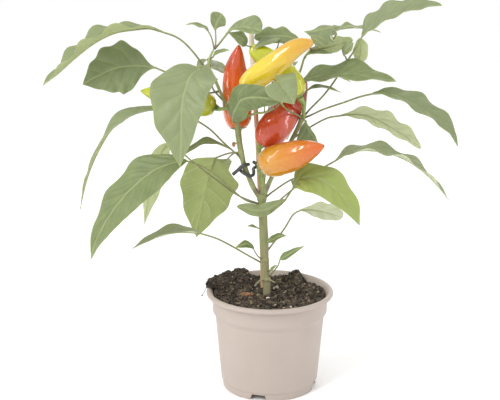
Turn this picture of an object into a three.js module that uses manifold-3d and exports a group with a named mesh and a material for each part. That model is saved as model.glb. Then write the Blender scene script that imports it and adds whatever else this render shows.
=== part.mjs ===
// Potted chilli pepper plant: a nursery pot of peat with one branched plant tied to a stick.
// Millimetres, +Z up. The origin is on the bench, under the middle of the pot.
import * as THREE from "three";
import { mergeVertices } from "three/addons/utils/BufferGeometryUtils.js";
import Module from "manifold-3d";

const wasm = await Module();
wasm.setup();

// Driving sizes
const GAP = 0.3; // air between pieces that touch
const BLADE = 0.7; // thickness of a leaf blade
const POT_HEIGHT = 103;
const RIM_RADIUS = 65;
const FOOT_RADIUS = 48.3;
const FOOT_HEIGHT = 7;
const POT_SIDES = 32;
const SOIL_LEVEL = 97.5;
const COLLAR_HEIGHT = 16.5;
const TIE_RADIUS = 1.3;

const PLASTIC = { color: 0xcfc3ba, roughness: 0.55, metalness: 0 };
const PEAT = { color: 0x43372d, roughness: 1, metalness: 0 };
const BARK = { color: 0xa9703f, roughness: 0.9, metalness: 0 };
const STEM_GREEN = { color: 0x7d8c58, roughness: 0.6, metalness: 0 };
const STICK = { color: 0xd6b48f, roughness: 0.8, metalness: 0 };
const TIE_BLACK = { color: 0x343635, roughness: 0.5, metalness: 0 };
const LEAF_GREEN = { color: 0x83985f, roughness: 0.5, metalness: 0 };
const YOUNG_GREEN = { color: 0xa8ba62, roughness: 0.5, metalness: 0 };
const CALYX_GREEN = { color: 0x7f9a4a, roughness: 0.5, metalness: 0 };
const fruitSkin = (color) => ({ color, roughness: 0.2, metalness: 0 });

const group = new THREE.Group();

// ---------- shapes ----------

const vec = ([x, y, z]) => new THREE.Vector3(x, y, z);

// Even steps along a smooth line through points.
function walk(points, steps) {
  const line = new THREE.CatmullRomCurve3(points.map(vec), false, "centripetal");
  return line.getSpacedPoints(steps);
}

// A tangent, an up and a side at each point; up is nearest to `face` at the point numbered `at`.
function framesAlong(points, face, at) {
  const last = points.length - 1;
  const tangents = points.map((_, i) =>
    points[Math.min(i + 1, last)].clone().sub(points[Math.max(i - 1, 0)]).normalize(),
  );
  const ups = [];
  const carry = (up, i) => {
    ups[i] = up.clone().addScaledVector(tangents[i], -up.dot(tangents[i])).normalize();
  };
  carry(face, at);
  for (let i = at + 1; i <= last; i++) carry(ups[i - 1], i);
  for (let i = at - 1; i >= 0; i--) carry(ups[i + 1], i);
  const sides = tangents.map((tangent, i) => tangent.clone().cross(ups[i]));
  return { tangents, ups, sides };
}

// A closed skin over rings of equally many points, with a flat end at each end.
function skin(rings) {
  const count = rings[0].length;
  const corners = rings.flat().flatMap((p) => [p.x, p.y, p.z]);
  const faces = [];
  for (let i = 0; i + 1 < rings.length; i++) {
    for (let k = 0; k < count; k++) {
      const [a, d] = [i * count + k, i * count + ((k + 1) % count)];
      const [b, c] = [a + count, d + count];
      // Both faces of a blade are split along the same diagonal.
      if (k < count / 2 - 1 || k === count - 1) faces.push(a, b, c, a, c, d);
      else faces.push(a, b, d, b, c, d);
    }
  }
  const endCap = (start, forward) => {
    for (let k = 0; k < count / 2 - 1; k++) {
      const [a, b] = [start + k, start + k + 1];
      const [c, d] = [start + count - 2 - k, start + count - 1 - k];
      if (forward) faces.push(a, b, c, a, c, d);
      else faces.push(a, c, b, a, d, c);
    }
  };
  endCap(0, true);
  endCap((rings.length - 1) * count, false);
  return solidOf(corners, faces);
}

function solidOf(corners, faces) {
  const made = (triVerts) =>
    new wasm.Manifold(
      new wasm.Mesh({
        numProp: 3,
        vertProperties: new Float32Array(corners),
        triVerts: new Uint32Array(triVerts),
      }),
    );
  const solid = made(faces);
  return solid.volume() > 0 ? solid : made([...faces].reverse());
}

function solidOfGeometry(geometry) {
  const bare = geometry.clone();
  bare.deleteAttribute("normal");
  bare.deleteAttribute("uv");
  const merged = mergeVertices(bare, 1e-4);
  return solidOf(merged.attributes.position.array, Array.from(merged.index.array));
}

const joined = (solids) => solids.reduce((whole, solid) => whole.add(solid));

// The main body of a piece that its neighbours have cut, without the stubs left on their far sides.
const mainBody = (solid) => solid.decompose().sort((a, b) => b.volume() - a.volume())[0];

// A solid turned about Z, for pieces laid out in a circle.
function turned(geometry, angle) {
  return solidOfGeometry(geometry.clone().rotateZ(angle));
}

function addNode(name, solid, finish) {
  const mesh = solid.getMesh();
  const geometry = new THREE.BufferGeometry();
  geometry.setAttribute("position", new THREE.BufferAttribute(mesh.vertProperties, 3));
  geometry.setIndex(new THREE.BufferAttribute(mesh.triVerts, 1));
  const node = new THREE.Mesh(geometry, new THREE.MeshStandardMaterial(finish));
  node.name = name;
  group.add(node);
}

const between = (radii, t) => {
  const place = t * (radii.length - 1);
  const i = Math.min(Math.floor(place), radii.length - 2);
  return radii[i] + (radii[i + 1] - radii[i]) * (place - i);
};

// A round stalk along a line, with radii spread evenly from its start to its end.
function stalk(path, radii, steps, sides = 6, extra = 0) {
  const points = walk(path, steps);
  const { tangents, ups, sides: across } = framesAlong(points, new THREE.Vector3(0.37, 0.43, 0.82), 0);
  points[0].addScaledVector(tangents[0], -extra);
  points[steps].addScaledVector(tangents[steps], extra);
  const rings = points.map((point, i) => {
    const radius = between(radii, i / steps) + extra;
    return Array.from({ length: sides }, (_, k) => {
      const angle = (2 * Math.PI * (k + 0.5)) / sides;
      return point
        .clone()
        .addScaledVector(across[i], radius * Math.cos(angle))
        .addScaledVector(ups[i], radius * Math.sin(angle));
    });
  });
  return skin(rings);
}

// ---------- pot ----------

const lathe = (profile, sides = POT_SIDES) =>
  solidOfGeometry(
    new THREE.LatheGeometry(
      profile.map(([r, z]) => new THREE.Vector2(r, z)),
      sides,
    ).rotateX(Math.PI / 2),
  );

const LIP_UNDER = POT_HEIGHT - 5.2;
const COLLAR_FOOT = LIP_UNDER - COLLAR_HEIGHT;
const POT_FLOOR = FOOT_HEIGHT + 1.5;
const PAD_RADIUS = 14; // the middle of the base, which stands on the bench too

function pot() {
  const wall = lathe([
    [0, 0],
    [PAD_RADIUS, 0],
    [PAD_RADIUS + 2, FOOT_HEIGHT - 1],
    [FOOT_RADIUS - 5, FOOT_HEIGHT - 1],
    [FOOT_RADIUS - 3.5, 0],
    [FOOT_RADIUS, 0],
    [FOOT_RADIUS + 0.4, FOOT_HEIGHT],
    [FOOT_RADIUS + 1.7, FOOT_HEIGHT + 1.2],
    [RIM_RADIUS - 9.1, COLLAR_FOOT - 4.8],
    [RIM_RADIUS - 6.3, COLLAR_FOOT],
    [RIM_RADIUS - 5.9, LIP_UNDER],
    [RIM_RADIUS - 1.2, LIP_UNDER + 0.2],
    [RIM_RADIUS, LIP_UNDER + 1.6],
    [RIM_RADIUS, POT_HEIGHT - 1.6],
    [RIM_RADIUS - 1.6, POT_HEIGHT],
    [RIM_RADIUS - 3.8, POT_HEIGHT],
    [RIM_RADIUS - 5.4, POT_HEIGHT - 1.8],
    [RIM_RADIUS - 7.5, LIP_UNDER - 0.5],
    [RIM_RADIUS - 7.9, COLLAR_FOOT + 0.6],
    [RIM_RADIUS - 10.6, COLLAR_FOOT - 4.6],
    [FOOT_RADIUS, POT_FLOOR],
    [0, POT_FLOOR],
  ]);
  const notch = new THREE.BoxGeometry(15.5, 14, 11.6).translate(0, -FOOT_RADIUS, 0);
  const notches = [-0.08, 0.42, 0.92, 1.42].map((turn) => turned(notch, turn * Math.PI));
  const drain = new THREE.CylinderGeometry(3.5, 3.5, 12, 6);
  drain.rotateX(Math.PI / 2).translate(0, -30, FOOT_HEIGHT);
  const drains = [0, 1, 2, 3].map((i) => turned(drain, (i * Math.PI) / 2));
  return wall.subtract(joined([...notches, ...drains]));
}

// ---------- stems ----------

const AXES = {
  trunk: {
    path: [
      [-2.6, 0, 62], [-3, 0, 92], [-3.2, 0, 106], [-4.4, 0, 118], [-5.1, 0, 127], [-5.7, 0, 145],
      [-7.2, 0, 180], [-8.2, 0, 195], [-8.5, 0, 204],
    ],
    radii: [3.4, 3.4, 3.6, 4.2, 4.3, 4.5, 4.5, 4.3, 4],
    steps: 8,
  },
  leftBranch: {
    path: [
      [-8.5, 0, 198], [-15.7, -2, 209], [-21, -4, 221], [-26, -5, 234], [-28.9, -5, 247],
      [-31.3, -5, 262], [-33, -5, 281],
    ],
    radii: [3.1, 2.7, 2.6, 2.7, 2.9, 3, 2.7],
    steps: 6,
  },
  middleBranch: {
    path: [
      [-8, 0, 197], [-8.2, 2, 208], [-7.4, 4, 218], [-4.8, 9, 231], [-1, 18, 250], [2, 23, 270],
      [3, 25, 290],
    ],
    radii: [3, 2.8, 2.6, 2.4, 2.2, 2, 1.8],
    steps: 7,
  },
  rightBranch: {
    path: [[-7.5, 0, 197], [-4.5, 2, 206], [0.5, 5, 217], [12.5, 12, 239], [25, 9, 264], [33, 2, 283]],
    radii: [2.8, 2.3, 2.2, 2.2, 2.2, 2.9],
    steps: 7,
  },
};
const SHOOTS = {
  spray_left_top: {
    path: [
      [-33, -5, 278], [-38, -4, 284], [-42, -3, 292], [-47.5, -2, 303], [-53.5, 0, 317],
      [-60.5, 0, 332], [-59, 0, 342], [-55, 0, 350],
    ],
    radii: [1.7, 1.6, 1.5, 1.5, 1.6, 1.8, 1.3, 0.9],
    steps: 9,
  },
  spray_middle_top: {
    path: [[3, 25, 289], [3, 25, 310], [2.5, 21, 331], [1.5, 16, 347]],
    radii: [1.7, 1.6, 1.4, 1.2],
    steps: 5,
  },
  spray_right_top: {
    path: [[2, 24, 277], [13, 34, 292], [24, 36, 311], [30, 27, 324], [34, 14, 340], [39.5, 10, 348]],
    radii: [1.5, 1.4, 1.3, 1.2, 1.1, 0.9],
    steps: 8,
  },
};
const axisSolid = ({ path, radii, steps }, extra = 0) => stalk(path, radii, steps, 8, extra);

const STAKE = {
  path: [[-5.5, 14, 30], [-7.2, 14, 110], [-12, 14, 240], [-19.3, 14, 368]],
  radii: [2.2, 2.2, 2.2, 2.6],
  steps: 3,
};

// ---------- leaves ----------
// stalk and rib are lines from the stem to the tip; halfWidths are the blade's two sides; face is where
// the upper side looks; fold lifts both sides from the rib (degrees); ruffle is the height of the waved
// edge; widest is where along the rib the blade is widest; round is a full base, 0 a drawn-out one.
// widest and round may be pairs, one for each side; lobe is how far each side reaches back past the stalk.

const LEAVES = [
  {
    node: "leaf_left_arched",
    stalk: [
      [-60, 0, 330], [-65, 0, 333], [-75, -1, 346], [-84, -2, 356], [-92, -3, 362],
      [-105, -4, 367],
    ],
    rib: [
      [-105, -4, 367], [-117, -5, 370], [-131, -6, 369], [-150, -9, 366], [-169, -11, 357],
      [-189, -13, 342], [-206, -15, 327], [-221, -16, 316],
    ],
    halfWidths: [22, 22], face: [-0.3, -0.05, 1], twist: -10,
    fold: 24, ruffle: 3, waves: 4.2, phase: 0.4,
    widest: 0.45, round: 0.3, taper: 0.85,
  },
  {
    node: "leaf_left_broad",
    stalk: [[-50, -1, 308], [-64, 4, 306], [-89, 10, 319], [-113, 14, 329]],
    rib: [[-113, 14, 329], [-130, 14, 331], [-152, 13, 329], [-169, 12, 322], [-186, 11, 313]],
    halfWidths: [28, 25], face: [0.1, -0.9, 0.42], fold: 6, ruffle: 1.4, waves: 5,
    widest: 0.42, round: 0, taper: 1.05,
  },
  {
    node: "leaf_left_front",
    stalk: [[-60, 0, 331], [-65, -8, 334], [-70, -18, 332]],
    rib: [
      [-70, -18, 332], [-77, -26, 327], [-82, -33, 315], [-85, -40, 301], [-86, -47, 272],
      [-87, -50, 243],
    ],
    halfWidths: [25, 31], face: [-0.08, -0.9, 0.42], fold: 6, ruffle: 1.6, waves: 3.2,
    widest: [0.14, 0.3], round: [1, 0.8], taper: 1.2, lobe: [13, 3],
  },
  {
    node: "leaf_left_drooping",
    stalk: [[-30, -5, 243], [-45, 0, 255], [-61, 4, 270], [-80, 7, 281], [-102, 8, 289]],
    rib: [
      [-102, 8, 289], [-120, 8, 288], [-140, 6, 283], [-157, 5, 270], [-168, 4, 254],
      [-178, 3, 234], [-185, 2, 215], [-192, 1, 187],
    ],
    halfWidths: [19, 19], face: [-0.55, -0.1, 0.85], twist: 20, fold: 10, ruffle: 1.4, waves: 3,
    widest: 0.3, round: 0.5, taper: 1.2,
  },
  {
    node: "leaf_left_low_front",
    stalk: [
      [-9, 0, 193], [-24, -9, 199.5], [-40, -20, 215], [-52, -28, 229], [-69, -33, 241],
      [-81, -36, 246],
    ],
    rib: [
      [-81, -36, 246], [-95, -38, 244], [-111, -40, 238], [-128, -43, 226], [-143, -45, 211],
      [-156, -47, 194], [-169, -48, 171], [-176, -49, 150],
    ],
    halfWidths: [25, 20], face: [-0.45, -0.75, 0.5], fold: 10, ruffle: 1.8, waves: 3.6,
    widest: 0.3, round: 0.7, taper: 1.1,
  },
  {
    node: "leaf_left_low_behind",
    stalk: [[-9, 2, 192], [-33, 14, 199], [-54, 20, 213], [-81, 22, 234], [-99, 20, 252]],
    rib: [[-99, 20, 252], [-107, 18, 247], [-115, 15, 230], [-123, 12, 200], [-128, 9, 170]],
    halfWidths: [9, 13], face: [0.2, 0.9, 0.2], fold: 6, ruffle: 1.2, waves: 3,
    widest: 0.3, round: 0.7, cells: 8,
  },
  {
    node: "leaf_left_narrow",
    stalk: [[-27, -5, 237], [-35, -10, 249], [-42, -11, 254]],
    rib: [[-42, -11, 254], [-55, -13, 259], [-65, -15, 260], [-77, -17, 254], [-86, -19, 247]],
    halfWidths: [6, 6], face: [-0.1, -0.35, 1], fold: 14, ruffle: 0.6, waves: 2.5,
    widest: 0.45, round: 0.3, cells: 7, across: 2,
  },
  {
    node: "leaf_left_rear",
    stalk: [[-26.5, -5, 242], [-33, 20, 242], [-44, 38, 237], [-56, 46, 231]],
    rib: [
      [-56, 46, 231], [-59, 50, 223], [-63, 53, 211], [-68, 54, 189], [-73, 52, 168],
      [-77, 49, 144],
    ],
    halfWidths: [28, 31], face: [0.1, 0.95, 0.2], fold: 5, ruffle: 1.2, waves: 3.4,
    widest: 0.3, round: 0.8, taper: 1.1,
  },
  {
    node: "leaf_left_bottom",
    stalk: [[-3, 0, 128], [-21, -2, 139], [-37, -6, 150], [-53, -13, 161], [-68, -20, 168.5]],
    rib: [[-68, -20, 168.5], [-82, -25, 171], [-97, -28, 171], [-114, -32, 167], [-137, -36, 157]],
    halfWidths: [12, 12], face: [-0.1, -0.1, 1], fold: 22, ruffle: 0.8, waves: 2.5,
    cells: 8,
  },
  {
    node: "leaf_right_low_front",
    stalk: [[-6, 0, 180], [4, -12, 190.5], [13, -19, 201], [22, -22, 216]],
    rib: [
      [22, -22, 216], [28, -27, 225], [39, -32, 228], [53, -37, 225], [65, -41, 216],
      [77, -45, 203], [86, -49, 185],
    ],
    halfWidths: [16, 18], face: [0.25, -0.8, 0.5], fold: 10, ruffle: 2, waves: 3,
    widest: 0.32, round: 1, taper: 1, young: true,
  },
  {
    node: "leaf_right_low_behind",
    stalk: [[-4, 0, 142], [4, 8, 150], [15, 18, 162], [25, 26, 176], [32, 30, 179]],
    rib: [[32, 30, 179], [44, 34, 178], [59, 39, 174], [77, 44, 167]],
    halfWidths: [11, 13], face: [0.1, 0.9, 0.45], fold: 4, ruffle: 1.2, waves: 3,
    widest: 0.55, taper: 0.5, cells: 8,
  },
  {
    node: "leaf_right_long",
    stalk: [[-5, 0, 200], [5, 3, 207], [21, 6, 217], [36, 8, 222], [52, 8, 229], [66, 8, 237]],
    rib: [
      [66, 8, 237], [80, 8, 245], [95, 8, 247], [115, 7, 245], [133, 6, 239], [151, 5, 228],
      [167, 3, 213], [182, 1, 195],
    ],
    halfWidths: [15, 15], face: [0.35, -0.1, 1], twist: -10,
    fold: 16, ruffle: 3, waves: 3.8, phase: 0.8,
    widest: 0.26, round: 0.5, taper: 0.8,
  },
  {
    node: "leaf_right_arched",
    stalk: [[33, 2, 281], [40, 1, 284], [51, 2.5, 289], [72, 5, 296], [89, 6, 302], [101, 6, 305]],
    rib: [
      [101, 6, 305], [114, 5, 305], [128, 4, 301], [144, 2, 293], [162, 0, 282],
      [176, -2, 270], [186, -5, 253],
    ],
    halfWidths: [17, 13], face: [0.4, -0.45, 0.8], fold: 14, ruffle: 1.8, waves: 3.4,
    widest: 0.42, round: 0.5, taper: 0.75,
  },
  {
    node: "leaf_right_rear",
    stalk: [[19, 11, 253], [27, 13, 261], [40, 16, 269], [58, 20, 278], [71, 23, 280]],
    rib: [[71, 23, 280], [90, 28, 280], [107, 31, 275], [125, 33, 265], [141, 34, 255], [155, 34, 243]],
    halfWidths: [9, 14], face: [0.3, 0.8, 0.5], fold: 4, ruffle: 2.2, waves: 3.6, phase: 2,
    widest: 0.4, round: 0.6, taper: 0.7,
  },
  {
    node: "leaf_right_upper",
    stalk: [[25, 35.5, 313], [27, 25, 315], [30, 14, 315]],
    rib: [[30, 14, 315], [42, 10, 320], [59, 7, 322], [78, 4, 324], [101, 1, 321], [123, -1, 318]],
    halfWidths: [17, 14], face: [0, -0.45, 0.9], fold: 18, ruffle: 3, waves: 2.44, phase: 0.3,
    widest: 0.45, round: 0.9, taper: 0.9,
  },
  {
    node: "leaf_right_top",
    stalk: [
      [32.5, 3, 281], [38.5, 6.5, 288], [53, 12, 302], [65, 18, 317], [76, 20, 335],
      [83, 19, 346], [90, 17, 360],
    ],
    rib: [
      [90, 17, 360], [97, 15, 367], [108, 13, 374], [120, 11, 381], [134, 9, 386],
      [148, 8, 389], [166, 6, 391],
    ],
    halfWidths: [17, 12], face: [-0.15, -0.4, 0.9], fold: 22, ruffle: 1.6, waves: 3.4,
    widest: 0.26, round: 0.7, taper: 0.7,
  },
  {
    node: "leaf_right_top",
    stalk: [[76, 20, 336], [74, 16, 340], [71.5, 10, 342]],
    rib: [[71.5, 10, 342], [72, 8, 345], [75.5, 6, 350], [81, 4, 355]],
    halfWidths: [6, 7], face: [0, -0.6, 0.8],
    fold: 8, ruffle: 0.8, waves: 2, widest: 0.6, cells: 5, across: 2,
  },
  {
    node: "leaf_right_top",
    stalk: [[76, 20, 335], [82, 26, 333], [87, 30, 332]],
    rib: [[87, 30, 332], [90, 32, 338], [91, 34, 347], [90, 36, 356]],
    halfWidths: [7.5, 7.5], face: [0.2, 0.9, -0.1], fold: 6, ruffle: 0.6, waves: 2,
    widest: 0.45, round: 1, taper: 0.7, cells: 5, across: 2,
  },
  {
    node: "leaf_right_node",
    stalk: [[32, 3, 279], [35.5, 8, 277]],
    rib: [[35.5, 8, 277], [36.5, 9, 272], [41, 10, 264], [48, 11, 254]],
    halfWidths: [2.5, 18], face: [0.1, -0.85, 0.5], fold: 2, ruffle: 0.5, waves: 2,
    widest: 0.5, round: 0.4, cells: 6, across: 2,
  },
  {
    node: "leaf_right_narrow",
    stalk: [[33.5, 3, 282], [35, 4.5, 294], [35, 5, 303], [36, 5, 308]],
    rib: [[36, 5, 308], [42, 5, 311], [49, 5, 312], [58.5, 5, 310], [70, 4, 306]],
    halfWidths: [3.5, 3.5], face: [0, -0.35, 1], fold: 10, ruffle: 0.4, waves: 2, cells: 6, across: 2,
  },
  {
    node: "leaf_front_left",
    stalk: [[-33, -5, 279], [-37, -15, 280], [-37.5, -20, 283]],
    rib: [[-37.5, -20, 283], [-34.5, -36, 295.5], [-27, -48, 308], [-12.5, -55, 311], [7, -58, 308]],
    halfWidths: [14, 13], face: [-0.1, -0.85, 0.5], fold: 4, cup: 0.2, ruffle: 0.8, waves: 3,
    widest: 0.36, round: 1, taper: 0.6, cells: 8,
  },
  {
    node: "leaf_front_right",
    stalk: [
      [33, 2, 280], [24, -9, 287], [16.5, -17, 292], [8.5, -36, 304], [4, -48, 316],
      [6, -51, 325],
    ],
    rib: [[6, -51, 325], [8.5, -57, 323], [14, -64, 316], [20.5, -70, 307]],
    halfWidths: [18, 19], face: [-0.05, -0.62, 0.78], fold: 24, cup: 0.3, ruffle: 0.8, waves: 2,
    widest: [0.16, 0.3], round: 1, taper: 1.1, lobe: [13, 2], cells: 8,
  },
  // the tip of the left shoot
  {
    node: "spray_left_top",
    stalk: [[-55, 0, 350], [-52.5, 0, 352], [-48.5, -1, 357], [-43.5, -2, 364]],
    rib: [[-43.5, -2, 364], [-37.5, -4, 369], [-28, -6, 371], [-18.5, -9, 370], [-9, -12, 368]],
    halfWidths: [13, 6], face: [0, -0.75, 0.65], fold: 10, ruffle: 0.6, waves: 2,
    widest: 0.72, round: 0, taper: 0.5, cells: 6, across: 2,
  },
  {
    node: "spray_left_top",
    stalk: [[-55, 0, 350], [-54, 0, 352], [-53.5, 0, 360], [-54, 0, 368]],
    rib: [[-54, 0, 368], [-53.5, -1, 372], [-51, -3, 378], [-47, -6, 384]],
    halfWidths: [8.5, 8.5], face: [-0.1, -0.95, 0.3], fold: 4, ruffle: 0.4, waves: 2,
    widest: 0.6, round: 0.4, taper: 0.6, cells: 5, across: 2,
  },
  {
    node: "spray_left_top",
    stalk: [[-55, 0, 350], [-55.5, 0, 352], [-58, 0, 362], [-60.5, 0, 367]],
    rib: [[-60.5, 0, 367], [-64, 0, 370], [-69.5, -1, 372], [-76.5, -2, 374], [-82, -3, 373]],
    halfWidths: [4.5, 4.5], face: [-0.4, -0.35, 0.85], fold: 12, ruffle: 0.5, waves: 2,
    widest: 0.25, cells: 5, across: 2,
  },
  {
    node: "spray_left_top",
    stalk: [[-59, 0, 340], [-56.5, -1, 342]],
    rib: [[-56.5, -1, 342], [-52.5, -2, 346], [-46.5, -3, 348], [-40, -4, 349]],
    halfWidths: [3.2, 3.2], face: [0, -0.5, 0.86], fold: 10, ruffle: 0.3, waves: 2, widest: 0.4,
    cells: 5, across: 2,
  },
  {
    node: "spray_left_top",
    stalk: [[-60, 0, 333], [-60.5, 10, 332], [-60, 18, 329]],
    rib: [[-60, 18, 329], [-56, 28, 328], [-49, 39, 325], [-38, 46, 321]],
    halfWidths: [12, 11], face: [0.1, -0.7, 0.7], fold: 8, ruffle: 0.8, waves: 2,
    widest: 0.4, round: 0.9, cells: 6, across: 2,
  },
  {
    node: "spray_left_top",
    stalk: [[-60, 0, 337], [-61.5, 5, 338], [-63.5, 8, 338]],
    rib: [[-63.5, 8, 338], [-67.5, 9, 335], [-70.5, 10, 332], [-73.5, 11, 327]],
    halfWidths: [4, 5], face: [-0.4, -0.6, 0.7], fold: 8, ruffle: 0.4, waves: 2, widest: 0.4,
    cells: 5, across: 2,
  },
  // the tip of the middle branch
  {
    node: "spray_middle_top",
    stalk: [[1.5, 16, 345], [-7.5, 13.5, 345.5], [-16, 9.6, 349.5], [-24, 7, 352]],
    rib: [[-24, 7, 352], [-27, 4, 358], [-33, 2, 362], [-41, 2, 365]],
    halfWidths: [8, 7], face: [0.3, -0.75, 0.6], fold: 6, ruffle: 1.2, waves: 2,
    widest: 0.3, round: 0.9, cells: 6, across: 2,
  },
  {
    node: "spray_middle_top",
    stalk: [[2.5, 20, 336], [13.5, 18, 346], [22.5, 17, 352], [28, 14, 357]],
    rib: [[28, 14, 357], [17, 13, 360], [5.5, 11, 361], [-6.5, 9, 361], [-16, 8, 359]],
    halfWidths: [9, 9.5], face: [0, -0.75, 0.65], fold: 4, ruffle: 1.6, waves: 3,
    widest: 0.45, round: 1, taper: 0.6, cells: 8, across: 2,
  },
  {
    node: "spray_middle_top",
    stalk: [[1.5, 17, 343], [6.5, 12, 349], [8.5, 5, 359]],
    rib: [[8.5, 5, 359], [2, 1, 358.5], [-7.5, -4, 355.5], [-17.5, -9, 350]],
    halfWidths: [5, 6], face: [0, -0.6, 0.8], fold: 8, ruffle: 0.6, waves: 2,
    widest: 0.3, round: 0.8, cells: 5, across: 2,
  },
  // the tip of the right shoot
  {
    node: "spray_right_top",
    stalk: [[34, 14, 340], [43, 15, 349], [53.5, 15, 363]],
    rib: [
      [53.5, 15, 363], [63.5, 16, 366], [76, 21, 367.5], [87.5, 29, 367], [99.5, 34, 365],
      [111, 37, 361.5],
    ],
    halfWidths: [8, 8], face: [0, -0.15, 1], fold: 20, ruffle: 1.8, waves: 3.2, widest: 0.3, taper: 0.9,
    cells: 8, across: 2,
  },
  {
    node: "spray_right_top",
    stalk: [[39, 10, 348], [50.5, 9, 352], [61, 6, 358], [64.5, 2, 364]],
    rib: [[64.5, 2, 364], [59.5, 0, 370], [50.5, -3, 369], [40.5, -5, 367], [32, -6, 367]],
    halfWidths: [15, 6], face: [-0.1, -0.7, 0.7], fold: -12, cup: 0.1, ruffle: 0.8, waves: 2,
    widest: 0.4, round: 1, taper: 1.4, cells: 6, across: 2,
  },
  {
    node: "spray_right_top",
    stalk: [[39, 10, 348], [48, 2, 350], [53, -8, 353]],
    rib: [[53, -8, 353], [49, -13, 356], [44, -16, 360], [38, -17, 364]],
    halfWidths: [4.5, 4.5], face: [-0.3, -0.9, 0.1], fold: 6, ruffle: 0.5, waves: 2,
    widest: 0.5, round: 0.9, taper: 0.7, cells: 5, across: 2,
  },
  {
    node: "spray_right_top",
    stalk: [[39, 10, 347], [44, 12, 347], [48, 13, 348]],
    rib: [[48, 13, 348], [58.5, 14, 350], [69.5, 16, 353], [81.5, 18, 356]],
    halfWidths: [9, 9], face: [0.1, 0.75, 0.5], fold: 4, ruffle: 1, waves: 2,
    widest: 0.45, round: 0.7, taper: 0.6, cells: 5, across: 2,
  },
  {
    node: "spray_right_top",
    stalk: [[34, 14, 339], [35, 12, 342]],
    rib: [[35, 12, 342], [42, 11, 345], [50.5, 10, 345], [60.5, 9, 344]],
    halfWidths: [3.6, 3.6], face: [0, -0.5, 0.86], fold: 8, ruffle: 0.4, waves: 2, widest: 0.4,
    cells: 5, across: 2,
  },
  // small leaves in the axils of the trunk
  {
    node: "leaflet_left_low",
    stalk: [[-5, 0, 133], [-11, -6, 139], [-14, -9, 144], [-16, -11, 149]],
    rib: [[-16, -11, 149], [-19.5, -13, 153.5], [-24.5, -16, 156], [-29, -19, 155.5], [-35, -22, 154]],
    halfWidths: [5.5, 4], face: [-0.1, -0.6, 0.8], fold: 10, ruffle: 0.5, waves: 2,
    widest: 0.35, round: 0.8, cells: 5, across: 2,
  },
  {
    node: "leaflet_left_tiny",
    stalk: [[-6, 0, 167], [-13, -5, 170]],
    rib: [[-13, -5, 170], [-18, -6, 172], [-23, -7, 172]],
    halfWidths: [2, 2], face: [0, -0.4, 0.9],
    fold: 6, ruffle: 0.2, waves: 2, widest: 0.4, cells: 4, across: 2,
  },
  {
    node: "leaflet_curled",
    stalk: [[-7, 0, 189], [0, -5, 190.5], [10, -5.5, 196], [16, -6, 199.5]],
    rib: [
      [16, -6, 199.5], [6, -7.5, 195], [-4, -9, 190], [-16, -12.5, 190], [-25, -14, 193],
      [-33.5, -15, 195],
    ],
    halfWidths: [6, 6.5], face: [0, -0.96, 0.28], fold: 4, ruffle: 2.2, waves: 2.4, phase: 1.2,
    widest: 0.5, round: 0.7, taper: 0.7, cells: 8, across: 2,
  },
  {
    node: "leaflet_right_small",
    stalk: [[-5, 0, 152], [-3, -6, 155]],
    rib: [[-3, -6, 155], [3, -7, 158], [9, -9, 162], [16.5, -10, 163]],
    halfWidths: [4.5, 4], face: [0, -0.6, 0.8], fold: 8, ruffle: 0.4, waves: 2,
    widest: 0.4, round: 0.8, cells: 4, across: 2,
  },
  {
    node: "leaflet_right_low",
    stalk: [[-2, 0, 115], [3, -6, 123], [8, -9, 131], [10, -10, 138]],
    rib: [[10, -10, 138], [15, -11, 141], [24, -12, 147], [34.5, -13, 153]],
    halfWidths: [4, 3.5], face: [-0.3, -0.7, 0.6], fold: 8, ruffle: 0.4, waves: 2,
    widest: 0.25, round: 0.9, cells: 5, across: 2,
  },
  {
    node: "leaflet_right_tiny",
    stalk: [[-3, 0, 121], [0, -6, 125]],
    rib: [[0, -6, 125], [3, -8, 128], [7, -10, 132]],
    halfWidths: [1.9, 1.9], face: [0, -0.6, 0.8], fold: 8, ruffle: 0.2, waves: 2, widest: 0.4,
    cells: 4, across: 2,
  },
  // the far side of the plant
  {
    node: "leaf_back_high",
    stalk: [[3, 25, 298], [8, 40, 312], [11, 50, 318]],
    rib: [[11, 50, 318], [13, 68, 323], [13, 88, 318], [12, 105, 304]],
    halfWidths: [17, 16], face: [0, 0.3, 1], fold: 12, ruffle: 1.6, waves: 3,
    widest: 0.36, round: 0.7, cells: 7, across: 2,
  },
  {
    node: "leaf_back_middle",
    stalk: [[-1, 18, 249], [3, 35, 258], [8, 48, 262]],
    rib: [[8, 48, 262], [12, 66, 264], [16, 86, 256], [20, 102, 238]],
    halfWidths: [15, 15], face: [0, 0.4, 1], fold: 10, ruffle: 1.6, waves: 3,
    widest: 0.36, round: 0.7, cells: 7, across: 2,
  },
  {
    node: "leaf_back_left_low",
    stalk: [[-26, -5, 238], [-31, 28, 240], [-38, 52, 234], [-45, 70, 224]],
    rib: [[-45, 70, 224], [-55, 88, 214], [-61, 100, 192], [-64, 104, 166]],
    halfWidths: [17, 17], face: [-0.3, 0.8, 0.6], fold: 8, ruffle: 1.6, waves: 3,
    widest: 0.34, round: 0.8, cells: 7, across: 2,
  },
  {
    node: "leaf_back_right_low",
    stalk: [[-5, 1, 182], [10, 26, 190], [26, 50, 198]],
    rib: [[26, 50, 198], [37, 66, 200], [48, 82, 193], [58, 94, 178]],
    halfWidths: [14, 14], face: [0.2, 0.4, 0.9], fold: 10, ruffle: 1.4, waves: 3,
    widest: 0.36, round: 0.7, cells: 7, across: 2,
  },
  {
    node: "leaf_back_left_high",
    stalk: [[-44.5, -3, 297], [-56, 7, 308], [-60, 28, 314], [-68, 50, 307]],
    rib: [[-68, 50, 307], [-82, 64, 301], [-95, 76, 285], [-104, 83, 262]],
    halfWidths: [15, 15], face: [-0.5, 0.6, 0.7], fold: 8, ruffle: 1.4, waves: 3,
    widest: 0.36, round: 0.7, cells: 7, across: 2,
  },
  {
    node: "leaf_back_right_high",
    stalk: [[20, 33, 308], [31, 41, 312], [40, 47, 312]],
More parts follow.
